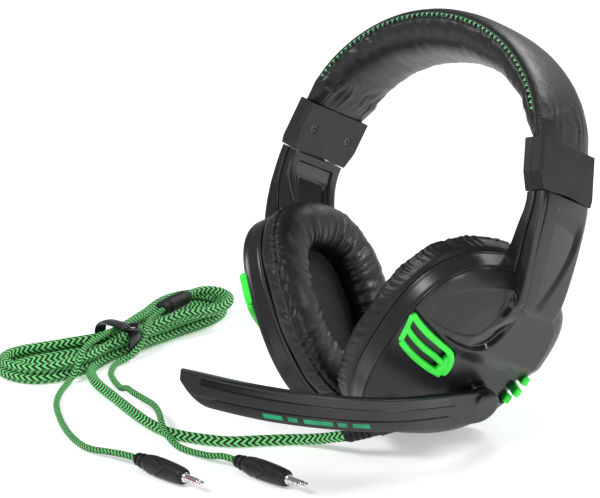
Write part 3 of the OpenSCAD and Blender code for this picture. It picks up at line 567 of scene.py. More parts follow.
main_path = even(through(main_points, 12), 1.3) + LEAD
SPLIT_A, SPLIT_B = np.array([-210.0, 57.4, 15.9]), np.array([-203.9, 28.6, 15.9])
split_way = unit(SPLIT_B - SPLIT_A)
split_side = np.array([-split_way[1], split_way[0], 0])
headphone_points = np.vstack([
    [SPLIT_B - split_way * 2 - split_side * 1.8, SPLIT_B + split_way * 3 - split_side * 2.0],
    [[-202.8, 14, 15.1], [-201.2, 0, 15.0], [-199.5, -12, 14.9], [-197.4, -24, 14.6], [-193.5, -38, 13.9],
     [-188.2, -48, 11.8], [-183.8, -56, 6.6], [-180.6, -64, 2.6], [-173, -77, thin], [-160, -92, thin],
     [-142, -106, thin], [-123, -118, thin], [-106, -126, thin], [-92, -130, 2.4], [-77, -130, 4],
     [-65, -130, 5], [-57, -130, 5], [-54, -130.2, 5]]])
mic_points = np.vstack([
    [SPLIT_B - split_way * 2 + split_side * 1.8, SPLIT_B + split_way * 3 + split_side * 2.2],
    [[-197.4, 15, 14.6], [-191.2, 6, 13.9], [-185.2, -4, 8.6], [-183.6, -15, 3.4], [-183.4, -26, thin],
     [-174, -39, thin], [-163, -47, thin], [-154, -52, thin], [-145, -58, 4], [-136, -62, 7],
     [-125, -68, 8.6], [-113, -72, 8.8], [-101, -76, 8.8], [-91, -82, 8.6], [-81, -90, 8.4], [-71, -96, 5.0],
     [-57, -100, thin], [-36, -102, 3], [-25, -102, 5], [-15, -102, 5], [-12, -102.2, 5]]])
headphone_path = even(through(headphone_points, 12), 0.9) + LEAD
mic_path = even(through(mic_points, 12), 0.9) + LEAD


def braided(name, path, diameter, sides):
    """A sleeve: round, a little uneven along its length."""
    run = run_of(path)
    radius = diameter / 2 * (1 + 0.012 * np.sin(run / 3.1) + 0.01 * np.sin(run / 7.7 + 1))
    return tube(name, path * MM, radius * MM, sides=sides, uv_scale=diameter * MM)


main_cord = finish_piece(braided("lead", main_path, CORD, 16), "left_cup", BRAID, "cord_main", "cord_hank")
headphone_cord, mic_cord = (
    finish_piece(braided(name, path, BRANCH, 12), "left_cup", THIN_BRAID, node)
    for name, path, node in (("headphone_branch", headphone_path, "headphone_cord"),
                             ("microphone_branch", mic_path, "mic_cord")))

# ---------------------------------------------------------------- plugs, splitter, tie, strain relief
GRIP_LONG = 38
GRIP = [(0, 0), (0, 2.7), (0.3, 3.0), (1.4, 3.4), (2.1, 3.35), (2.5, 2.5), (3.5, 2.5), (3.9, 3.6),
        (4.8, 3.85), (5.7, 3.7), (6.1, 2.8), (7.1, 2.8), (7.6, 3.9), (8.6, 4.25), (12, 4.8), (15, 5.0),
        (19, 5.06), (23, 5.0), (26, 4.95), (31, 4.75), (35, 4.45), (37, 4.15), (37.7, 3.7), (GRIP_LONG, 2.9),
        (GRIP_LONG, 0)]
PIN = [(37.5, 0), (37.5, 2.6), (39.0, 2.6), (39.3, 2.3), (39.35, 1.75), (48.6, 1.75), (49.6, 1.15), (50, 1.2),
       (50.6, 1.55), (51.2, 1.5), (51.8, 0.9), (52, 0.35), (52, 0)]
RINGS_AT, RING_WIDE, RING_IN, RING_OUT = (GRIP_LONG + 5, GRIP_LONG + 8.2), 0.6, 1.7, 1.78


def densely(profile, step=0.25):
    return even(np.asarray(profile, float), step)


def plug(name, start, turn, finish_ring, ring_slot, nodes_for):
    """Grip, pin and rings, turned round the axis in which the cord comes in.

    The grip is drawn in by a shallow thumb groove, which curves across the barrel, and by two flats."""
    turn = math.radians(turn)
    way = np.array([math.cos(turn), math.sin(turn), 0])
    base = np.asarray(start, float) + LEAD
    profile, sides = densely(GRIP), 72
    a = np.linspace(0, 2 * math.pi, sides, endpoint=False)[None]
    along = profile[:, :1]
    barrel = smooth_step(along, 11, 13) * (1 - smooth_step(along, 31, 33))
    groove = bump(along - 20 - 5 * np.cos(a * 2), 0, 0.8) * barrel
    flat = smooth_step(along, 10, 16) * (1 - smooth_step(along, 30, 36)) * np.abs(np.cos(a)) ** 6
    middle = base + along[:, :, None] * way
    grip = turned_on_axis(profile, base, way, sides)
    grip = middle + (grip - middle) * (1 - 0.13 * groove - 0.07 * flat)[:, :, None]
    pieces = [finish_piece(lofted(name + "_grip", grip * MM, crease=50), "left_cup", PLUG_GRIP, nodes_for[0])]
    pin = lofted(name + "_metal", turned_on_axis(densely(PIN, 0.2), base, way) * MM, crease=40)
    pieces.append(finish_piece(pin, "left_cup", NICKEL, nodes_for[1]))
    for k, at in enumerate(RINGS_AT):
        band = [(at, RING_IN), (at, RING_OUT), (at + RING_WIDE, RING_OUT), (at + RING_WIDE, RING_IN)]
        ring = lofted(f"{name}_ring_{k}", turned_on_axis(band, base, way) * MM, crease=40)
        stands_for, slot = (nodes_for[2:], None) if k == 0 else ((), ring_slot)
        pieces.append(finish_piece(ring, "left_cup", finish_ring, *stands_for, slot=slot))
    return pieces


headphone_plug = plug("headphone_plug", [-57, -130, 5], -6, RED_RING, "ring_red",
                      ("headphone_plug_body", "headphone_plug_pin", "headphone_plug_rings"))
mic_plug = plug("microphone_plug", [-15, -102, 5], -5, GREY_RING, "ring_grey",
                ("mic_plug_body", "mic_plug_pin", "mic_plug_rings"))

SPLITTER = [(0, 0), (0, 2.9), (0.4, 3.4), (3.6, 4.3), (4.4, 4.5), (12, 4.6), (21.4, 4.6), (22, 4.4),
            (22.2, 3.9), (22.8, 3.9), (23, 4.4), (24.2, 4.4), (24.5, 3.9), (25.1, 3.9), (25.3, 4.4),
            (27, 4.3), (28.6, 3.9), (29.2, 3.4), (29.4, 0)]
splitter = turned_on_axis(densely(SPLITTER), SPLIT_A + LEAD, split_way, 56)
splitter = finish_piece(lofted("splitter", splitter * MM, crease=50), "left_cup", RUBBER, "cord_splitter")


def tie():
    """A flat strap round the waist of the hank with a twisted knot on its near side.

    The strap's ring is a rounded rectangle: cosine and sine, each raised to a power below 1."""
    sides, squareness = 120, 0.5
    half_x, half_z, mid_z, waist = 13.4, 8.5, 8.9, WAIST[1]
    a = np.linspace(0, 2 * math.pi, sides, endpoint=False)
    x = half_x * np.sign(np.cos(a)) * np.abs(np.cos(a)) ** squareness
    z = half_z * np.sign(np.sin(a)) * np.abs(np.sin(a)) ** squareness
    ring = np.stack([hank_middle(waist) + x, np.full(sides, float(waist)), mid_z + z], -1)
    outwards = unit(np.stack([x / half_x ** 2, 0 * x, z / half_z ** 2], -1))
    section = np.array([(0, -3.9), (1.0, -4.1), (1.4, -3.2), (1.55, 0), (1.4, 3.2), (1.0, 4.1), (0, 3.9),
                        (-0.1, 0)])
    rings = ring[:, None] + section[None, :, :1] * outwards[:, None]
    rings[..., 1] += section[None, :, 1] + 0.5 * np.sin(3 * a + 1)[:, None]
    strap = mesh_of("tie_strap", (rings + LEAD) * MM, grid_faces(sides, len(section), True, True), crease=40)
    share = np.linspace(0, 1, 60)
    angle = 2 * math.pi * 1.4 * share
    knot = np.stack([hank_middle(waist) + 11.5 + 2.6 * np.cos(angle), waist + 4.2 * np.sin(angle * 1.5),
                     17.0 + 1.6 * np.sin(angle) + 0.6 * share], -1) + LEAD
    return strap, tube("tie_knot", even(knot, 0.5) * MM, 1.6 * MM, sides=12, flat=0.75)


strap, knot = tie()
finish_piece(strap, "left_cup", TIE, "cord_tie")
finish_piece(knot, "left_cup", TIE, slot="tie_black")

relief_a, relief_b = np.array([33, -46, 18.0]) + LEAD, np.array([16, -54, 11.0]) + LEAD
reach = np.linalg.norm(relief_b - relief_a)
relief = [(-10, 0), (-10, 5.2), (2, 5.2), (2.6, 4.6), (reach - 13, 4.4)]
for rib in range(4):
    start, thick = reach - 12 + 3.1 * rib, 4.5 - 0.18 * rib
    relief += [(start - 0.25, 3.5), (start, thick), (start + 1.9, thick - 0.1), (start + 2.15, 3.4)]
relief += [(reach + 0.6, 3.3), (reach + 1.1, 3.0), (reach + 1.1, 0)]
relief = turned_on_axis(densely(relief), relief_a, relief_b - relief_a, 56)
relief = lofted("strain_relief_sleeve", relief * MM, crease=45)
finish_piece(relief, "left_cup", RUBBER, "strain_relief")


def metres(path):
    return (path * MM).tolist()


split_exit = tuple(metres(SPLIT_B + LEAD))
tuple(metres(relief_b))
metres(main_path)
for cord, path, fitting in ((headphone_cord, headphone_path, headphone_plug), (mic_cord, mic_path, mic_plug)):
    metres(path)

# ---------------------------------------------------------------- headband
BAND_HALF, BAND_RISE, BAND_LOW, BAND_WIDE = 76.4, 69.0, 16.0, 24.0


def band_stations(count):
    """Along the arch: its place, its outward normal, and how thick the padding is outside and inside."""
    a = np.radians(np.linspace(20, 160, count))
    place = np.stack([BAND_HALF * np.cos(a), 0 * a, CUP_DROP - BAND_LOW + BAND_RISE * np.sin(a)], -1)
    normal = unit(np.stack([np.cos(a) / BAND_HALF, 0 * a, np.sin(a) / BAND_RISE], -1))
    return place, normal, 6.6 - 0.6 * np.sin(a) ** 2, 4 + 13 * np.sin(a) ** 1.2


def band_stub(edge, s, y, way):
    """The pad's end, from its last ring of points straight into the housing on the side way."""
    out = np.array([way * math.cos(HOUSING_TILT), 0, math.sin(HOUSING_TILT)])
    deep, proud, thick = 5.5, -0.3, 4.9
    x = HALF_SPAN - deep * math.cos(HOUSING_TILT) + proud * math.sin(HOUSING_TILT)
    z = CUP_DROP - deep * math.sin(HOUSING_TILT)
    root = np.stack([way * x + 0 * s, 22.5 / BAND_WIDE * y, z + 0 * s], -1)
    root = root + thick * s[:, None] * out
    share = np.linspace(0, 1, 14)[:-1, None, None]
    return root + (edge - root) * share


def band_pad():
    """Stuffed leatherette: fine folds run in from the seams under the arch, and it is gathered at its ends.

    A section is a rounded rectangle, with s from -1 inside the arch to 1 outside it and y across the band.
    Every fold, seam and gather adds to depth, which moves a point outwards along the section's normal."""
    count, sides = 620, 160
    place, normal, outside, inside = band_stations(count)
    t = np.linspace(0, 2 * math.pi, sides, endpoint=False)
    s = np.sign(np.sin(t)) * np.abs(np.sin(t)) ** 0.85
    y = BAND_WIDE * np.sign(np.cos(t)) * np.abs(np.cos(t)) ** 0.7
    along = run_of(place)[:, None]
    mid = along[-1, 0] / 2
    end = np.abs(along - mid) / mid
    h = np.where(s > 0, outside[:, None], inside[:, None]) * s[None]
    across = np.abs(np.cos(t))[None]
    under = smooth_step(-s, -0.1, 0.35)[None]
    seam = bump(s, 0, 0.10)[None]
    folds = ripples(5, (0.025, 0.22), along + 5 * np.sin(t * 2)[None], y[None] * 0.22)
    sharp = 1 - np.abs(ripples(7, (0.03, 0.2), along + 3.5 * np.cos(3 * t)[None], y[None] * 0.25)) * 2.2
    sharp = np.clip(sharp, -0.4, 1)
    gather = ripples(9, (0.12, 0.42), along * 0.5, y[None]) * smooth_step(end, 0.8, 0.98)
    depth = under * (0.55 + 0.8 * across ** 3) * (0.45 * folds - 0.55 * sharp) * (0.7 + 0.9 * end ** 3)
    depth = depth + 0.9 * gather * (0.4 + 0.6 * under) - 1.0 * seam * (1 + 0.25 * np.sin(along * 1.5))
    depth = depth + 0.12 * (1 - under) * folds
    radial = unit(np.stack(np.broadcast_arrays(np.sign(y)[None] * across ** 2 * 0.8,
                                               np.sign(s)[None] * (1.05 - across ** 2)), -1))
    h = h + depth * radial[..., 1]
    side = y[None] * (1 - 0.012 * seam) + depth * radial[..., 0]
    points = place[:, None] + h[..., None] * normal[:, None] + side[..., None] * np.array([0, 1, 0])
    points = np.vstack([band_stub(points[0], s, y, 1), points, band_stub(points[-1], s, y, -1)[::-1]])
    return lofted("headband_padding", in_headset(points)), place, normal


band, band_place, band_normal = band_pad()
finish_piece(band, "headband", BAND, "headband_cushion")


def strands(name, paths, radius, sides=7):
    """Many short threads at once, along paths, (thread, point, xyz) in metres; each end is drawn in."""
    count, length = paths.shape[:2]
    ahead = unit(np.gradient(paths, axis=1))
    across = unit(np.cross(ahead, [0.21, 0.37, 0.90]))
    up = np.cross(across, ahead)
    a = np.linspace(0, 2 * math.pi, sides, endpoint=False)
    r = radius * np.sin(np.pi * (np.arange(length) + 0.35) / (length - 0.3)) ** 0.4
    rings = paths[:, :, None] + r[None, :, None, None] * (np.cos(a)[:, None] * across[:, :, None]
                                                         + np.sin(a)[:, None] * up[:, :, None])
    one = grid_faces(length, sides, close_columns=True)
    faces = (one[None] + (np.arange(count) * length * sides)[:, None, None]).reshape(-1, 4)
    return mesh_of(name, rings.reshape(-1, 3), faces, outwards=False)


def band_stitches(edge, side):
    """Whip stitches over the seam, each a pair of slanted threads that meet under it."""
    pitch, slant = 3.2, 0.9
    run = run_of(band_place)
    at = np.arange(5.0, run[-1] - 5, pitch)
    t = np.linspace(-1, 1, 9)
    paths = []
    for way in (-slant, slant):
        where = at[:, None] + way * np.clip(t[None] + 0.2, 0, 1.2)
        place = np.stack([np.interp(where, run, band_place[:, i]) for i in range(3)], -1)
        normal = unit(np.stack([np.interp(where, run, band_normal[:, i]) for i in range(3)], -1))
        h = 1.3 * t[None] + 0.1
        y = side * (BAND_WIDE - 0.05 - 0.7 * np.abs(t) ** 2.0)[None] + 0 * where
        paths.append(place + h[..., None] * normal + y[..., None] * np.array([0, 1, 0]))
    return strands(f"band_stitches_{edge}", in_headset(np.vstack(paths)), 0.24 * MM)


for edge, side in (("front", -1), ("rear", 1)):
    finish_piece(band_stitches(edge, side), "headband", THREAD, slot="band_leather")

# ---------------------------------------------------------------- cups
CUP = dict(half=46.0, top=52.0, bottom=58.0)
CUP_DEPTH, SPLIT_LINE, RIM_LINE = 25.0, 10.9, 1.4
# from the joint with the pad outwards: share of the depth, width and height shares, shift back, shift up
ROWS = np.array([[0, 1, 1, 0, 0], [0.3, 1.01, 1, 0.4, 0], [0.46, 1.02, 0.99, 0.8, 0.3],
                 [0.62, 0.97, 0.95, 5, 1.6], [0.78, 0.89, 0.88, 9.6, 3.4], [0.92, 0.77, 0.78, 13, 5],
                 [1, 0.6, 0.64, 15, 5.4]])
OVAL_TURN, OVAL_POWER = math.radians(11.5), 2 / 2.6


def oval(angle, half, top, bottom):
    """A squarish oval (the power 2.6 of each side adds to 1), turned a little."""
    c, s = (np.sign(v) * np.abs(v) ** OVAL_POWER for v in (np.cos(angle), np.sin(angle)))
    x, y = half * c, np.where(s > 0, top, bottom) * s
    cos_turn, sin_turn = math.cos(OVAL_TURN), math.sin(OVAL_TURN)
    return np.stack([x * cos_turn - y * sin_turn, x * sin_turn + y * cos_turn], -1)


def even_angles(count):
    """Angles that space the oval's points evenly, since the power crowds them."""
    fine = np.linspace(0, 2 * math.pi, 7201)
    run = run_of(oval(fine, **CUP))
    return np.interp(np.linspace(0, run[-1], count + 1)[:-1], run, fine)


# a vent lies at place in the cup's axes, turned about them by these angles in degrees
VENT_HALF, VENT_DEEP = 7.5, 3.0
FRONT_VENT = dict(place=[-46.4, 4, 11.5], slope=-24, spin=0, turn=-14, length=36)
REAR_VENT = dict(place=[51.6, -6, 12.5], slope=-66, spin=180, turn=8, length=20)


def turning(axis, degrees):
    c, s = math.cos(math.radians(degrees)), math.sin(math.radians(degrees))
    return np.array([[c, 0, s], [0, 1, 0], [-s, 0, c]] if axis == "y" else [[c, -s, 0], [s, c, 0], [0, 0, 1]])


def vent_axes(vent):
    return turning("z", vent["spin"]) @ turning("y", vent["slope"]) @ turning("z", vent["turn"])


def vent_shape(x, y, length, grow=0.0):
    """How far inside a vent's outline a point is: a bar with one round end and one slanted one."""
    half, centre = VENT_HALF + grow, length - VENT_HALF
    slant = 0.6 * (5.6 - y) - 1.5 if length > 4 * VENT_HALF else 0
    straight = np.minimum(x - slant + grow, half - np.abs(y))
    return np.where(x > centre, half - np.hypot(x - centre, y), straight)


RECESS = np.array([-24.0, 26.0])
RECESS_EDGE = [(-39.9, 12.1), (-41.4, 19), (-40, 26.4), (-33, 33.9), (-22.8, 39.5), (-10.8, 43.3), (-7.6, 38),
               (-7.2, 31.9), (-7.9, 24), (-10.9, 17.6), (-18, 13.6), (-29.4, 12.0)]
SWEEP_EDGE = [(-41, 10.6), (-41.6, 19), (-40, 26.4), (-33, 33.9), (-22.8, 39.5), (-9.8, 43.8), (-2.4, 44.5),
              (-0.6, 38.4), (1.7, 23.7), (-0.8, 14.2), (-7.8, 9.6), (-18.9, 8.4), (-30, 9.0)]


def from_recess(u, w, edge):
    """How far outside an outline round the recess a point is, measured along the ray from its middle."""
    line = through(edge + edge[:1], 16) - RECESS
    angle, reach = np.arctan2(line[:, 1], line[:, 0]), np.hypot(line[:, 0], line[:, 1])
    order = np.argsort(angle)
    u, w = u - RECESS[0], w - RECESS[1]
    edge_reach = np.interp(np.arctan2(w, u), angle[order], reach[order], period=2 * math.pi)
    return np.hypot(u, w) - edge_reach


def shell_surface(angles, rows):
    """The cup's outside: oval rings that lean back and up as they rise, then a flat crown."""
    smooth = through(ROWS, rows // 6)
    smooth[:, 0] = np.maximum.accumulate(np.clip(smooth[:, 0], 0, 1))
    ring = oval(angles, **CUP)
    u = ring[None, :, 0] * smooth[:, None, 1] + smooth[:, None, 3]
    w = ring[None, :, 1] * smooth[:, None, 2] + smooth[:, None, 4]
    d = np.broadcast_to(smooth[:, None, 0] * CUP_DEPTH, u.shape)
    wall = np.stack([u, w, d], -1)
    shrink = np.linspace(1, 0, rows // 2 + 1)[1:-1, None, None]
    middle = wall[-1].mean(0)
    return np.vstack([wall, middle + (wall[-1] - middle) * shrink])


def cup_shell(side_name):
    """The outside of a cup with its split line, its sunk oval recess, the raised and polished sweep round the
    recess and the vents' pockets; sink is how far each of them moves a point inwards along the normal."""
    angles = even_angles(420)
    points = shell_surface(angles, 126)
    normal = unit(np.cross(np.gradient(points, axis=0), np.gradient(points, axis=1)))
    normal *= np.sign((normal * (points - [0, 0, -20])).sum(-1).mean())  # away from the wearer's ear
    u, w, d = np.moveaxis(points, -1, 0)
    sink = 0.7 * bump(d, SPLIT_LINE, 0.28) + 0.35 * bump(d, RIM_LINE, 0.35)
    past_recess, past_sweep = from_recess(u, w, RECESS_EDGE), from_recess(u, w, SWEEP_EDGE)
    on_top = smooth_step(d, SPLIT_LINE + 0.7, SPLIT_LINE + 1.7)
    sink = sink + 1.0 * (1 - smooth_step(past_recess, -1.0, 0.1)) * on_top
    raised = np.maximum(smooth_step(past_sweep, -1.6, 0.3) * smooth_step(w, 1, 11),
                        smooth_step(past_recess, 0, 1.4) * smooth_step(w, 20, 36))
    sink = sink - 2.9 * raised * smooth_step(d, 19, 24.2)
    gloss = smooth_step(past_recess, -0.2, 0.3) * (1 - smooth_step(past_sweep, -0.6, 0.0)) * on_top
    for vent in (FRONT_VENT, REAR_VENT):
        local = (points - vent["place"]) @ vent_axes(vent)
        inside = vent_shape(local[..., 0], local[..., 1], vent["length"], 0.7)
        near = np.abs(local[..., 2]) < 9
        sink = sink + VENT_DEEP * smooth_step(inside, 0.0, 0.6) * near
    points = points - sink[..., None] * normal
    inner = points[0] * [0.96, 0.965, 1]
    back = np.stack([inner, inner * [0.97, 0.97, 1] + [0, 0, 1.2]])
    gloss = np.concatenate([np.zeros(2 * len(angles)), gloss.ravel(), [0]])
    rings = np.vstack([back[::-1], points])
    rows, count = rings.shape[:2]
    all_points = np.vstack([rings.reshape(-1, 3), rings[-1].mean(0)])
    faces = [grid_faces(rows, count, close_columns=True),
             fan(np.arange(count) + (rows - 1) * count, rows * count)]
    mesh = mesh_of(f"{side_name}_cup_outside", in_cup(all_points, SIDES[side_name]), faces,
                   attributes={"gloss": gloss})
    return finish_piece(mesh, f"{side_name}_cup", SHELL, f"{side_name}_cup_shell")


PAD_WIDE, PAD_DEEP = 25, 15.5
PAD_SEAM = [1.04, 0.6]
# the section of a cushion, from its hole round to its back: shares of its width and of its depth
PAD_ROWS = np.array([[0, 0.02], [0.0, 0.55], [0.14, 0.84], [0.4, 0.97], [0.7, 1], [0.95, 0.86], PAD_SEAM,
                     [1.035, 0.26], [1, 0.06], [0.9, 0.03]])


def ear_cushion(side_name):
    """A foam ring in leatherette: gathered round its opening, with a piped seam on its outer edge.

    grow is how far gathers, swelling, folds, seam and stitches move a point along the section's normal."""
    count, size = 520, [PAD_WIDE, PAD_DEEP]
    angles = even_angles(count)
    rim = oval(angles, **CUP)
    hole = oval(angles, 21, 30, 32)
    rows = even(through(PAD_ROWS * size, 12), 0.42) / size
    outward = unit((rows - [0.55, 0.45]) * size)
    across, deep = rows[:, :1], rows[:, 1:]
    a = angles[None]
    front = smooth_step(deep, 0.5, 0.95)
    gather = round_ring_noise(3, a, range(26, 62, 5)) * bump(across, 0.06, 0.26) * 0.75
    swell = round_ring_noise(4, a, range(5, 13)) * 0.35
    swell = swell + round_ring_noise(8, a, range(14, 30, 3)) * 0.22 * front
    by_seam = bump(across, 1.03, 0.25) * bump(deep, 0.62, 0.28)
    folds = round_ring_noise(6, a + 0.16 * np.abs(deep - 0.6), range(34, 96, 7)) * by_seam * 0.5
    outer = smooth_step(across, 0.9, 1.0)
    seam, stitch = (bump(deep - PAD_SEAM[1], up, wide) * outer for up, wide in ((0, 0.045), (0.085, 0.03)))
    grow = gather + swell + folds + 0.55 * seam - 0.75 * stitch * (1 + 0.3 * np.sin(70 * a))
    grow = grow - 0.4 * bump(deep, 0.1, 0.08)
    plane = hole[None] + (rim - hole)[None] * rows[:, None, :1]
    plane = plane + unit(rim - hole)[None] * outward[:, None, :1] * grow[..., None]
    d = -rows[:, None, 1] * PAD_DEEP - outward[:, None, 1] * grow
    shape = cup_to_headset(np.concatenate([plane, d[..., None]], -1))
    # where the two cushions meet, each is squashed flat against the middle plane
    touch, ease = 0.5, 2
    x = shape[..., 0]
    squashed = touch + ease * np.exp(np.minimum((x - touch - ease) / ease, 0))
    shape[..., 0] = np.where(x < touch + ease, squashed, x)
    last = len(rows)
    order = np.concatenate([np.arange(count) + (last - 1) * count, np.arange(count)])
    mesh = mesh_of(f"{side_name}_cushion", in_headset(shape, SIDES[side_name]),
                   [grid_faces(last, count, False, True), order[grid_faces(2, count, False, True)]])
    finish_piece(mesh, f"{side_name}_cup", PAD, f"{side_name}_ear_cushion")


def bar(path, half_wide, half_thick, sides=20):
    """A flat bar with rounded edges along a path; across it lies in the plane square to local z."""
    path = even(through(path, 10), 0.4)
    ahead = unit(np.gradient(path, axis=0))
    across = unit(np.cross([0, 0, 1.0], ahead))
    up = np.cross(ahead, across)
    a = np.linspace(0, 2 * math.pi, sides, endpoint=False)
    x = half_wide * np.sign(np.cos(a)) * np.abs(np.cos(a)) ** 0.45
    z = half_thick * np.sign(np.sin(a)) * np.abs(np.sin(a)) ** 0.45
    ends = np.minimum(np.arange(len(path)), np.arange(len(path))[::-1])
    close = (1 - 0.55 * np.clip(1 - ends / 3, 0, 1) ** 2)[:, None, None]
    return path[:, None] + close * (x[None, :, None] * across[:, None] + z[None, :, None] * up[:, None])


# each bar of a vent: its middle line, in the vent's axes, and half its width
FRONT_BARS = [([(-1.5, 5.6, 0), (6, 4.6, 0.1), (14, 4.5, 0.1), (22, 5.2, 0), (29, 5.7, 0), (33.6, 3.5, -0.1),
                (36.6, -0.8, -0.3), (37.6, -5.2, -0.5)], 1.75),
              ([(2.4, -1.2, 0), (10, -2.2, 0.1), (18, -2.2, 0.1), (26, -1.2, 0), (32, -0.8, 0)], 1.45),
              ([(6.4, -8.0, 0), (14, -8.6, 0.1), (22, -8.4, 0), (30, -7.3, -0.2), (37.6, -5.4, -0.5)], 1.6),
              ([(-1.6, 5.8, 0), (2.4, -1.0, 0.1), (6.5, -8.2, 0)], 1.5),
              ([(32.4, 4.6, -0.5), (33.9, -0.6, -0.55), (35.0, -6.2, -0.8)], 2.2)]
REAR_BARS = [([(1.6, 10.4, 0.9), (1.2, 0, 1.1), (1.8, -10.4, 0.9)], 2.7)] + [
    ([(1.0, y, 0), (9, y - 1.2, 1.2), (18 - abs(y) * 0.35, y - 3.4, 0.5)], 2.4) for y in (-6.6, 0.3, 7.2)]
BAR_HALF_THICK, BAR_SUNK = 1.9, 0.9
RIGHT_FRONT_SHIFT = [-3.5, 0, 0.8]


def vent_grille(side_name, end, vent, bars):
    """Green bars let into the shell: two long slots with a round rear end in front, fingers at the rear."""
    points, faces, start = [], [], 0
    for path, half in bars:
        rings = bar(path, half, BAR_HALF_THICK)
        n, m = rings.shape[:2]
        points += [rings.reshape(-1, 3), rings[:1].mean(1), rings[-1:].mean(1)]
        faces += [grid_faces(n, m, close_columns=True) + start, fan(np.arange(m), n * m)[:, ::-1] + start,
                  fan(np.arange(m) + (n - 1) * m, n * m + 1) + start]
        start += n * m + 2
    local = np.vstack(points) - [0, 0, BAR_SUNK]
    place = np.add(vent["place"], RIGHT_FRONT_SHIFT if (side_name, end) == ("right", "front") else 0)
    points = in_cup(local @ vent_axes(vent).T + place, SIDES[side_name])
    mesh = mesh_of(f"{side_name}_{end}_grille", points, faces, crease=55)
    return finish_piece(mesh, f"{side_name}_cup", GREEN, f"{side_name}_{end}_vent")


# ---------------------------------------------------------------- arms
def bezier(a, b, c, d, t):
    t = t[:, None]
    return (1 - t) ** 3 * a + 3 * t * (1 - t) ** 2 * b + 3 * t ** 2 * (1 - t) * c + t ** 3 * d


def housing_at(out, up):
    """The x and z of a point of the housing, for curves drawn in the plane between the ears."""
    c, s = math.cos(HOUSING_TILT), math.sin(HOUSING_TILT)
    return np.array([HALF_SPAN + out * c - up * s, CUP_DROP + out * s + up * c])


def cup_at(up, out):
    return cup_to_headset([0, up, out])[[0, 2]]


DOWN = np.array([math.sin(HOUSING_TILT), -math.cos(HOUSING_TILT)])
CUP_UP = np.array([math.sin(CUP_TILT), math.cos(CUP_TILT)])
STEM_ROOT = -27.0
ARM_HALF_WIDE, ARM_ACROSS = 20.3, 5


def arm_curves(part):
    """Each station's share t of the arm's length, and its outer and inner faces there, seen from the front.

    Both faces are cubics from the housing to the cup; the outer half runs on under the cup's crown."""
    t = np.linspace(0, 1, 150)
    start, end = housing_at(-0.3, STEM_ROOT), cup_at(40.1, 28.3)
    outer = bezier(start, start + 10 * DOWN, end + 8 * CUP_UP, end, t)
    start, foot = housing_at(-10.9, STEM_ROOT), cup_at(53.0, 1.5)
    inner = bezier(start, start + 12 * DOWN, foot + [3.5, 7.5], foot, t)
    if part == "outer":
        more = np.linspace(0, 1, 40)[1:, None]
        outer = np.vstack([outer, end + (cup_at(21, 25.6) - end) * more])
        inner = np.vstack([inner, foot + (cup_at(24, 16) - foot) * more ** 0.5])
        t = np.concatenate([t, 1 + 0.45 * more[:, 0]])
    return t, outer, inner


def outer_relief(t, v, y, face):
    """How far the outer face stands out, and where it is polished: a sunk panel that narrows downwards, a
    strip along the front edge and a crown across, and it draws back under the cup's crown at its foot."""
    left = -0.34 + 0.16 * smooth_step(t, 0.2, 0.9)
    right = 0.86 - 0.72 * smooth_step(t, 0.30, 0.98)
    panel = smooth_step(v, left, left + 0.05) * (1 - smooth_step(v, right - 0.22, right)) \
        * smooth_step(t, 0.13 + 0.05 * v, 0.27 + 0.05 * v) * (1 - smooth_step(t, 0.86, 0.97)) * face
    wide = 0.16 * smooth_step(t, 0.5, 1.0)
    strip = smooth_step(v, -0.97, -0.94) * (1 - smooth_step(v, -0.80 + wide, -0.77 + wide)) * face
    tail = smooth_step(v, 0.86, 0.9) * (1 - smooth_step(t, 0.6, 0.8)) * face
    crown = 0.9 * (1 - v ** 2) * face * (1 - smooth_step(t, 0.85, 1.1))
    push = crown - 1.7 * panel - 0.35 * strip - 7.0 * smooth_step(t, 1.0, 1.16) * smooth_step(-y, 3, 9)
    inside = (panel > 0.93) * smooth_step(t, 0.26 + 0.05 * v, 0.275 + 0.05 * v)
    gloss = np.clip(inside + strip + tail * 0.8, 0, 1) * (1 - smooth_step(t, 1.0, 1.15) * (v > -0.7))
    return push, gloss


def inner_relief(t, v, face):
    """How far the inner face is sunk, and where it is polished: a panel, with a deeper recess in it."""
    panel, recess = (smooth_step(wide - np.abs(v), 0, 0.06) * smooth_step(t, top, top + rise)
                     * (1 - smooth_step(t, foot, foot + fall)) * face
                     for wide, top, rise, foot, fall in ((0.72, 0.10, 0.04, 0.8, 0.06),
                                                         (0.55, 0.30, 0.03, 0.74, 0.04)))
    push = 1.3 * panel + 1.0 * recess
    return push, np.broadcast_to(panel, push.shape)


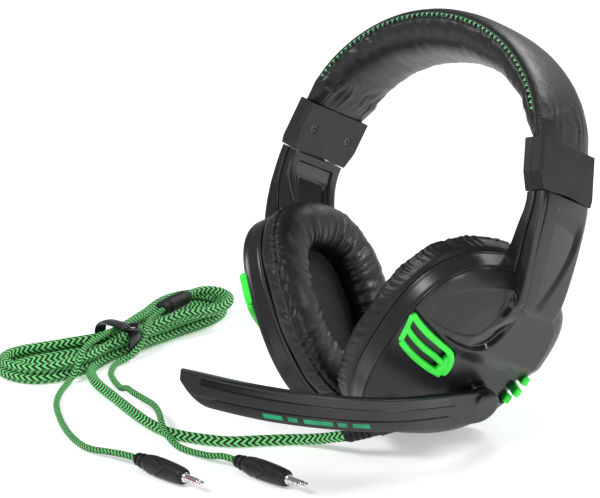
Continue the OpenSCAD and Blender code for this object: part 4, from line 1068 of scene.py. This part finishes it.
def arm(side_name, part):
    """Half of an arm: a rounded rectangle carried from the housing to the cup, between the two faces."""
    t, outer, inner = arm_curves(part)
    a = np.linspace(0, 2 * math.pi, 1500)
    c, s = np.cos(a), np.sin(a)
    box = np.stack([ARM_ACROSS * np.sign(c) * np.abs(c) ** 0.33,
                    ARM_HALF_WIDE * np.sign(s) * np.abs(s) ** 0.11], -1)
    box = even(box, 0.34)[:-1]
    share, y = (ARM_ACROSS - box[:, 0]) / (2 * ARM_ACROSS), box[:, 1]
    v = y[None] / ARM_HALF_WIDE
    # the front edge draws back towards the cup, to meet the recess
    y = y + 5.4 * smooth_step(t, 0.35, 1.0)[:, None] * np.clip(-v, 0, 1) ** 1.5
    share = share * 0.5 + (0 if part == "outer" else 0.502)
    place = outer[:, None] + (inner - outer)[:, None] * share[None, :, None]
    if part == "outer":
        push, gloss = outer_relief(t[:, None], v, y, smooth_step(box[:, 0], 4.2, 4.6)[None])
    else:
        push, gloss = inner_relief(t[:, None], v, smooth_step(-box[:, 0], 4.2, 4.6)[None])
    place = place + push[..., None] * unit(outer - inner)[:, None]
    rings = np.stack([place[..., 0], y, place[..., 1]], -1)
    mesh = lofted(f"{side_name}_arm_{part}_half", in_headset(rings, SIDES[side_name]),
                  attributes={"gloss": gloss}, crease=40)
    finish_piece(mesh, f"{side_name}_cup", SHELL, f"{side_name}_arm_{part}")


# ---------------------------------------------------------------- both sides
def finished_node(node, body, finish, edge):
    """A hard piece that keeps its CAD shape, with its edges rounded by this many millimetres."""
    finish_piece(finished_copy(node, f"{node}_finished", edge), body, finish, node)


CUP_NODES = (("stem", STEM, 0.4), ("baffle", INNER, 0.2), ("driver_frame", INNER, 0.2),
             ("driver_magnet", MAGNET, 0.2), ("diaphragm", FILM, 0), ("cup_screws", SCREW, 0.1),
             ("speaker_cloth", CLOTH, 0))
HOUSING_NODES = (("housing_outer", HOUSING, 0.9), ("housing_inner", INNER, 0.7),
                 ("housing_screws", SCREW, 0.1), ("detent_spring", STEEL, 0.1))
for side_name in SIDES:
    cup_shell(side_name)
    ear_cushion(side_name)
    vent_grille(side_name, "front", FRONT_VENT, FRONT_BARS)
    vent_grille(side_name, "rear", REAR_VENT, REAR_BARS)
    arm(side_name, "outer")
    arm(side_name, "inner")
    for node, finish, edge in CUP_NODES:
        finished_node(f"{side_name}_{node}", f"{side_name}_cup", finish, edge)
    for node, finish, edge in HOUSING_NODES:
        finished_node(f"{side_name}_{node}", "headband", finish, edge)

# ---------------------------------------------------------------- microphone boom
PITCH = math.radians(14.5)
RISE = math.tan(math.radians(6))
STRAIGHT, BEND_RADIUS, BEND, TIP = 39, 105, math.radians(60), 19
BLADE_HALF_THICK, BLADE_HALF_HIGH, BELOW_CUT = 3.5, 8, 0.25


def in_boom(p):
    x, y, z = np.moveaxis(np.asarray(p, float), -1, 0)
    c, s = math.cos(PITCH), math.sin(PITCH)
    return in_headset(np.stack([PIVOT[0] + x, PIVOT[1] + y * c - z * s, PIVOT[2] + y * s + z * c], -1))


def boom_line():
    """Straight ahead, round a wide arc towards the mouth, then a short straight tip.

    Gives each point's distance along the boom, its place seen from above, and the way out of the bend."""
    s = np.arange(0, STRAIGHT + BEND * BEND_RADIUS + TIP, 0.8)
    turned = np.clip((s - STRAIGHT) / BEND_RADIUS, 0, BEND)
    past = np.clip(s - STRAIGHT - BEND_RADIUS * turned.max(), 0, None)
    c, sn = np.cos(turned), np.sin(turned)
    x = -BEND_RADIUS * (1 - c) - past * sn
    y = -6 - np.minimum(s, STRAIGHT) - BEND_RADIUS * sn - past * c
    return s, np.stack([x, y], -1), np.stack([c, -sn], -1)


def boom_blade():
    """A thin blade: chamfered edges, a polished strip let in along its upper edge, a fine step below it."""
    s, line, out = boom_line()
    total = s[-1]
    a = np.linspace(0, 2 * math.pi, 2000)
    box = np.stack([BLADE_HALF_THICK * np.sign(np.cos(a)) * np.abs(np.cos(a)) ** 0.22,
                    BLADE_HALF_HIGH * np.sign(np.sin(a)) * np.abs(np.sin(a)) ** 0.16], -1)
    box = even(box, 0.22)[:-1]
    e, z = box[:, 0], box[:, 1]
    face = smooth_step(e, 3.0, 3.3)
    left = (total - s)[:, None]
    begun = smooth_step(s, 14, 22)[:, None]
    low_edge = 9.5 * np.clip(1 - left / 17, 0, 1) ** 2.1 + 1.2 * np.clip(1 - left / 45, 0, 1)
    height = BLADE_HALF_HIGH - (BLADE_HALF_HIGH - z[None]) * (1 - low_edge / (2 * BLADE_HALF_HIGH))
    slant = s[:, None] - (z[None] - 2) * 1.2
    strip = face * smooth_step(z, 2.3, 2.7) * (1 - smooth_step(z, 6.3, 6.7)) \
        * smooth_step(slant, 17, 18) * smooth_step(left, 9, 11)
    step_at = -2.2 - 0.6 * np.sin(s[:, None] / 60)
    crease = face * bump(height, step_at, 0.3) * smooth_step(s[:, None], 20, 24) * smooth_step(left, 16, 20)
    below = face * (1 - smooth_step(height, step_at - 0.2, step_at + 0.2)) * begun
    thin_tip = 1 - 0.35 * np.clip(1 - left / 14, 0, 1) ** 2
    e = e[None] * thin_tip - 0.45 * strip - 0.5 * crease - BELOW_CUT * below
    x = line[:, None, 0] + out[:, None, 0] * e
    y = line[:, None, 1] + out[:, None, 1] * e
    zz = height - line[:, None, 0] * RISE
    rings = np.stack([x, y, zz], -1)
    gloss = np.broadcast_to(strip, e.shape)
    return lofted("boom_blade", in_boom(rings), attributes={"gloss": gloss}, crease=50)


def boom_marks():
    """Plain slanted dashes printed low on the blade, where a maker would print something."""
    s, line, out = boom_line()
    strips = []
    for start, long in ((74, 9), (86, 4.5), (93, 14), (110, 4.5), (117, 9)):
        at = np.linspace(start, start + long, 12)[:, None]
        z = np.linspace(-6.3, -4.3, 4)[None]
        where = at + (z + 5.3) * 0.45
        x, y = (np.interp(where, s, line[:, i]) for i in (0, 1))
        nx, ny = (np.interp(where, s, out[:, i]) for i in (0, 1))
        e = BLADE_HALF_THICK - BELOW_CUT + 0.08  # just proud of the face below its step
        strips.append(np.stack([x + nx * e, y + ny * e, z - x * RISE], -1))
    points = np.stack(strips)
    n, rows, columns = points.shape[:3]
    faces = (grid_faces(rows, columns)[None] + (np.arange(n) * rows * columns)[:, None, None]).reshape(-1, 4)
    return mesh_of("boom_marks", in_boom(points.reshape(-1, 3)), faces, outwards=False)


finish_piece(boom_marks(), "mic_boom", MARK, slot="green_plastic")
pin_way = np.array([math.cos(CUP_TILT), 0, -math.sin(CUP_TILT)])


def pivot_part(name, profile, body, finish, *stands_for, **more):
    rings = turned_on_axis(densely(profile, 0.3), PIVOT, pin_way, 96)
    return finish_piece(lofted(name, in_headset(rings), crease=45), body, finish, *stands_for, **more)


finish_piece(boom_blade(), "mic_boom", SHELL, "boom_outer", "boom_inner")
ROUND_END = [(3.0, 0), (3.0, 2.7), (-3.5, 2.7), (-3.5, 8.6), (-3.2, 9.2), (-2.6, 9.5), (2.2, 9.5), (3.0, 9.1),
             (3.4, 8.3), (3.5, 7.2), (3.5, 2.6), (3.5, 0)]
BUTTON = [(-3.4, 0), (-3.4, 2.3), (2.4, 2.3), (2.8, 2.0), (2.8, 0)]
WASHER = [(-4.4, 0), (-4.4, 7), (-3.6, 7), (-3.6, 0)]
pivot_part("boom_round_end", ROUND_END, "mic_boom", SHELL, slot="boom_satin")
pivot_part("pivot_button", BUTTON, "left_cup", SHELL, "mic_pivot_pin")
pivot_part("pivot_washer_ring", WASHER, "left_cup", NYLON, "pivot_washer")
for node, body, finish, edge in (("mic_bracket", "left_cup", BRACKET, 0.5),
                                 ("mic_capsule", "mic_boom", CAPSULE, 0.1),
                                 ("circuit_board", "left_cup", BOARD, 0),
                                 ("headband_spring", "headband", STEEL, 0)):
    finished_node(node, body, finish, edge)

# ---------------------------------------------------------------- floor and light
# the emission keeps the floor as white as a lit studio ground, right up to the cords' shadows
floor_corners = 4 * np.array([[-1, -1, 0], [1, -1, 0], [1, 1, 0], [-1, 1, 0]])
floor = mesh_of("floor", floor_corners, np.array([[0, 1, 2, 3]]), outwards=False)
floor_paint = Paint("studio floor", (0.86, 0.86, 0.865), 0.7)
floor_paint.set("Emission Color", (1, 1, 1, 1))
floor_paint.set("Emission Strength", 0.4)
floor_paint.set("Roughness", floor_paint.noise(9, 2) * 0.1 + 0.65)
floor.data.materials.append(floor_paint.done())
world = bpy.data.worlds.new("studio")
world.use_nodes = True
world.node_tree.nodes["Background"].inputs[0].default_value = (0.95, 0.96, 1.0, 1)
world.node_tree.nodes["Background"].inputs[1].default_value = 0.27
bpy.context.scene.world = world
bpy.context.scene.view_settings.view_transform = "Standard"


def soft_box(name, place, aim, size, power):
    light = bpy.data.objects.new(name, bpy.data.lights.new(name, "AREA"))
    bpy.context.scene.collection.objects.link(light)
    light.data.shape, light.data.size, light.data.size_y = "RECTANGLE", size[0], size[1]
    light.data.energy = power
    back = unit(np.array(place, float) - aim)
    side = unit(np.cross([0, 0, 1.0], back))
    turn = Matrix(np.stack([side, np.cross(back, side), back], -1).tolist()).to_4x4()
    light.matrix_world = Matrix.Translation(place) @ turn


soft_box("key", (-0.5, -1.3, 1.6), (0, 0, 0.1), (1.0, 0.5), 26)
soft_box("fill", (1.9, -0.3, 0.9), (0, 0, 0.1), (0.3, 1.2), 12)
soft_box("rim", (0.3, 1.6, 1.3), (0, 0, 0.15), (1.6, 0.3), 26)
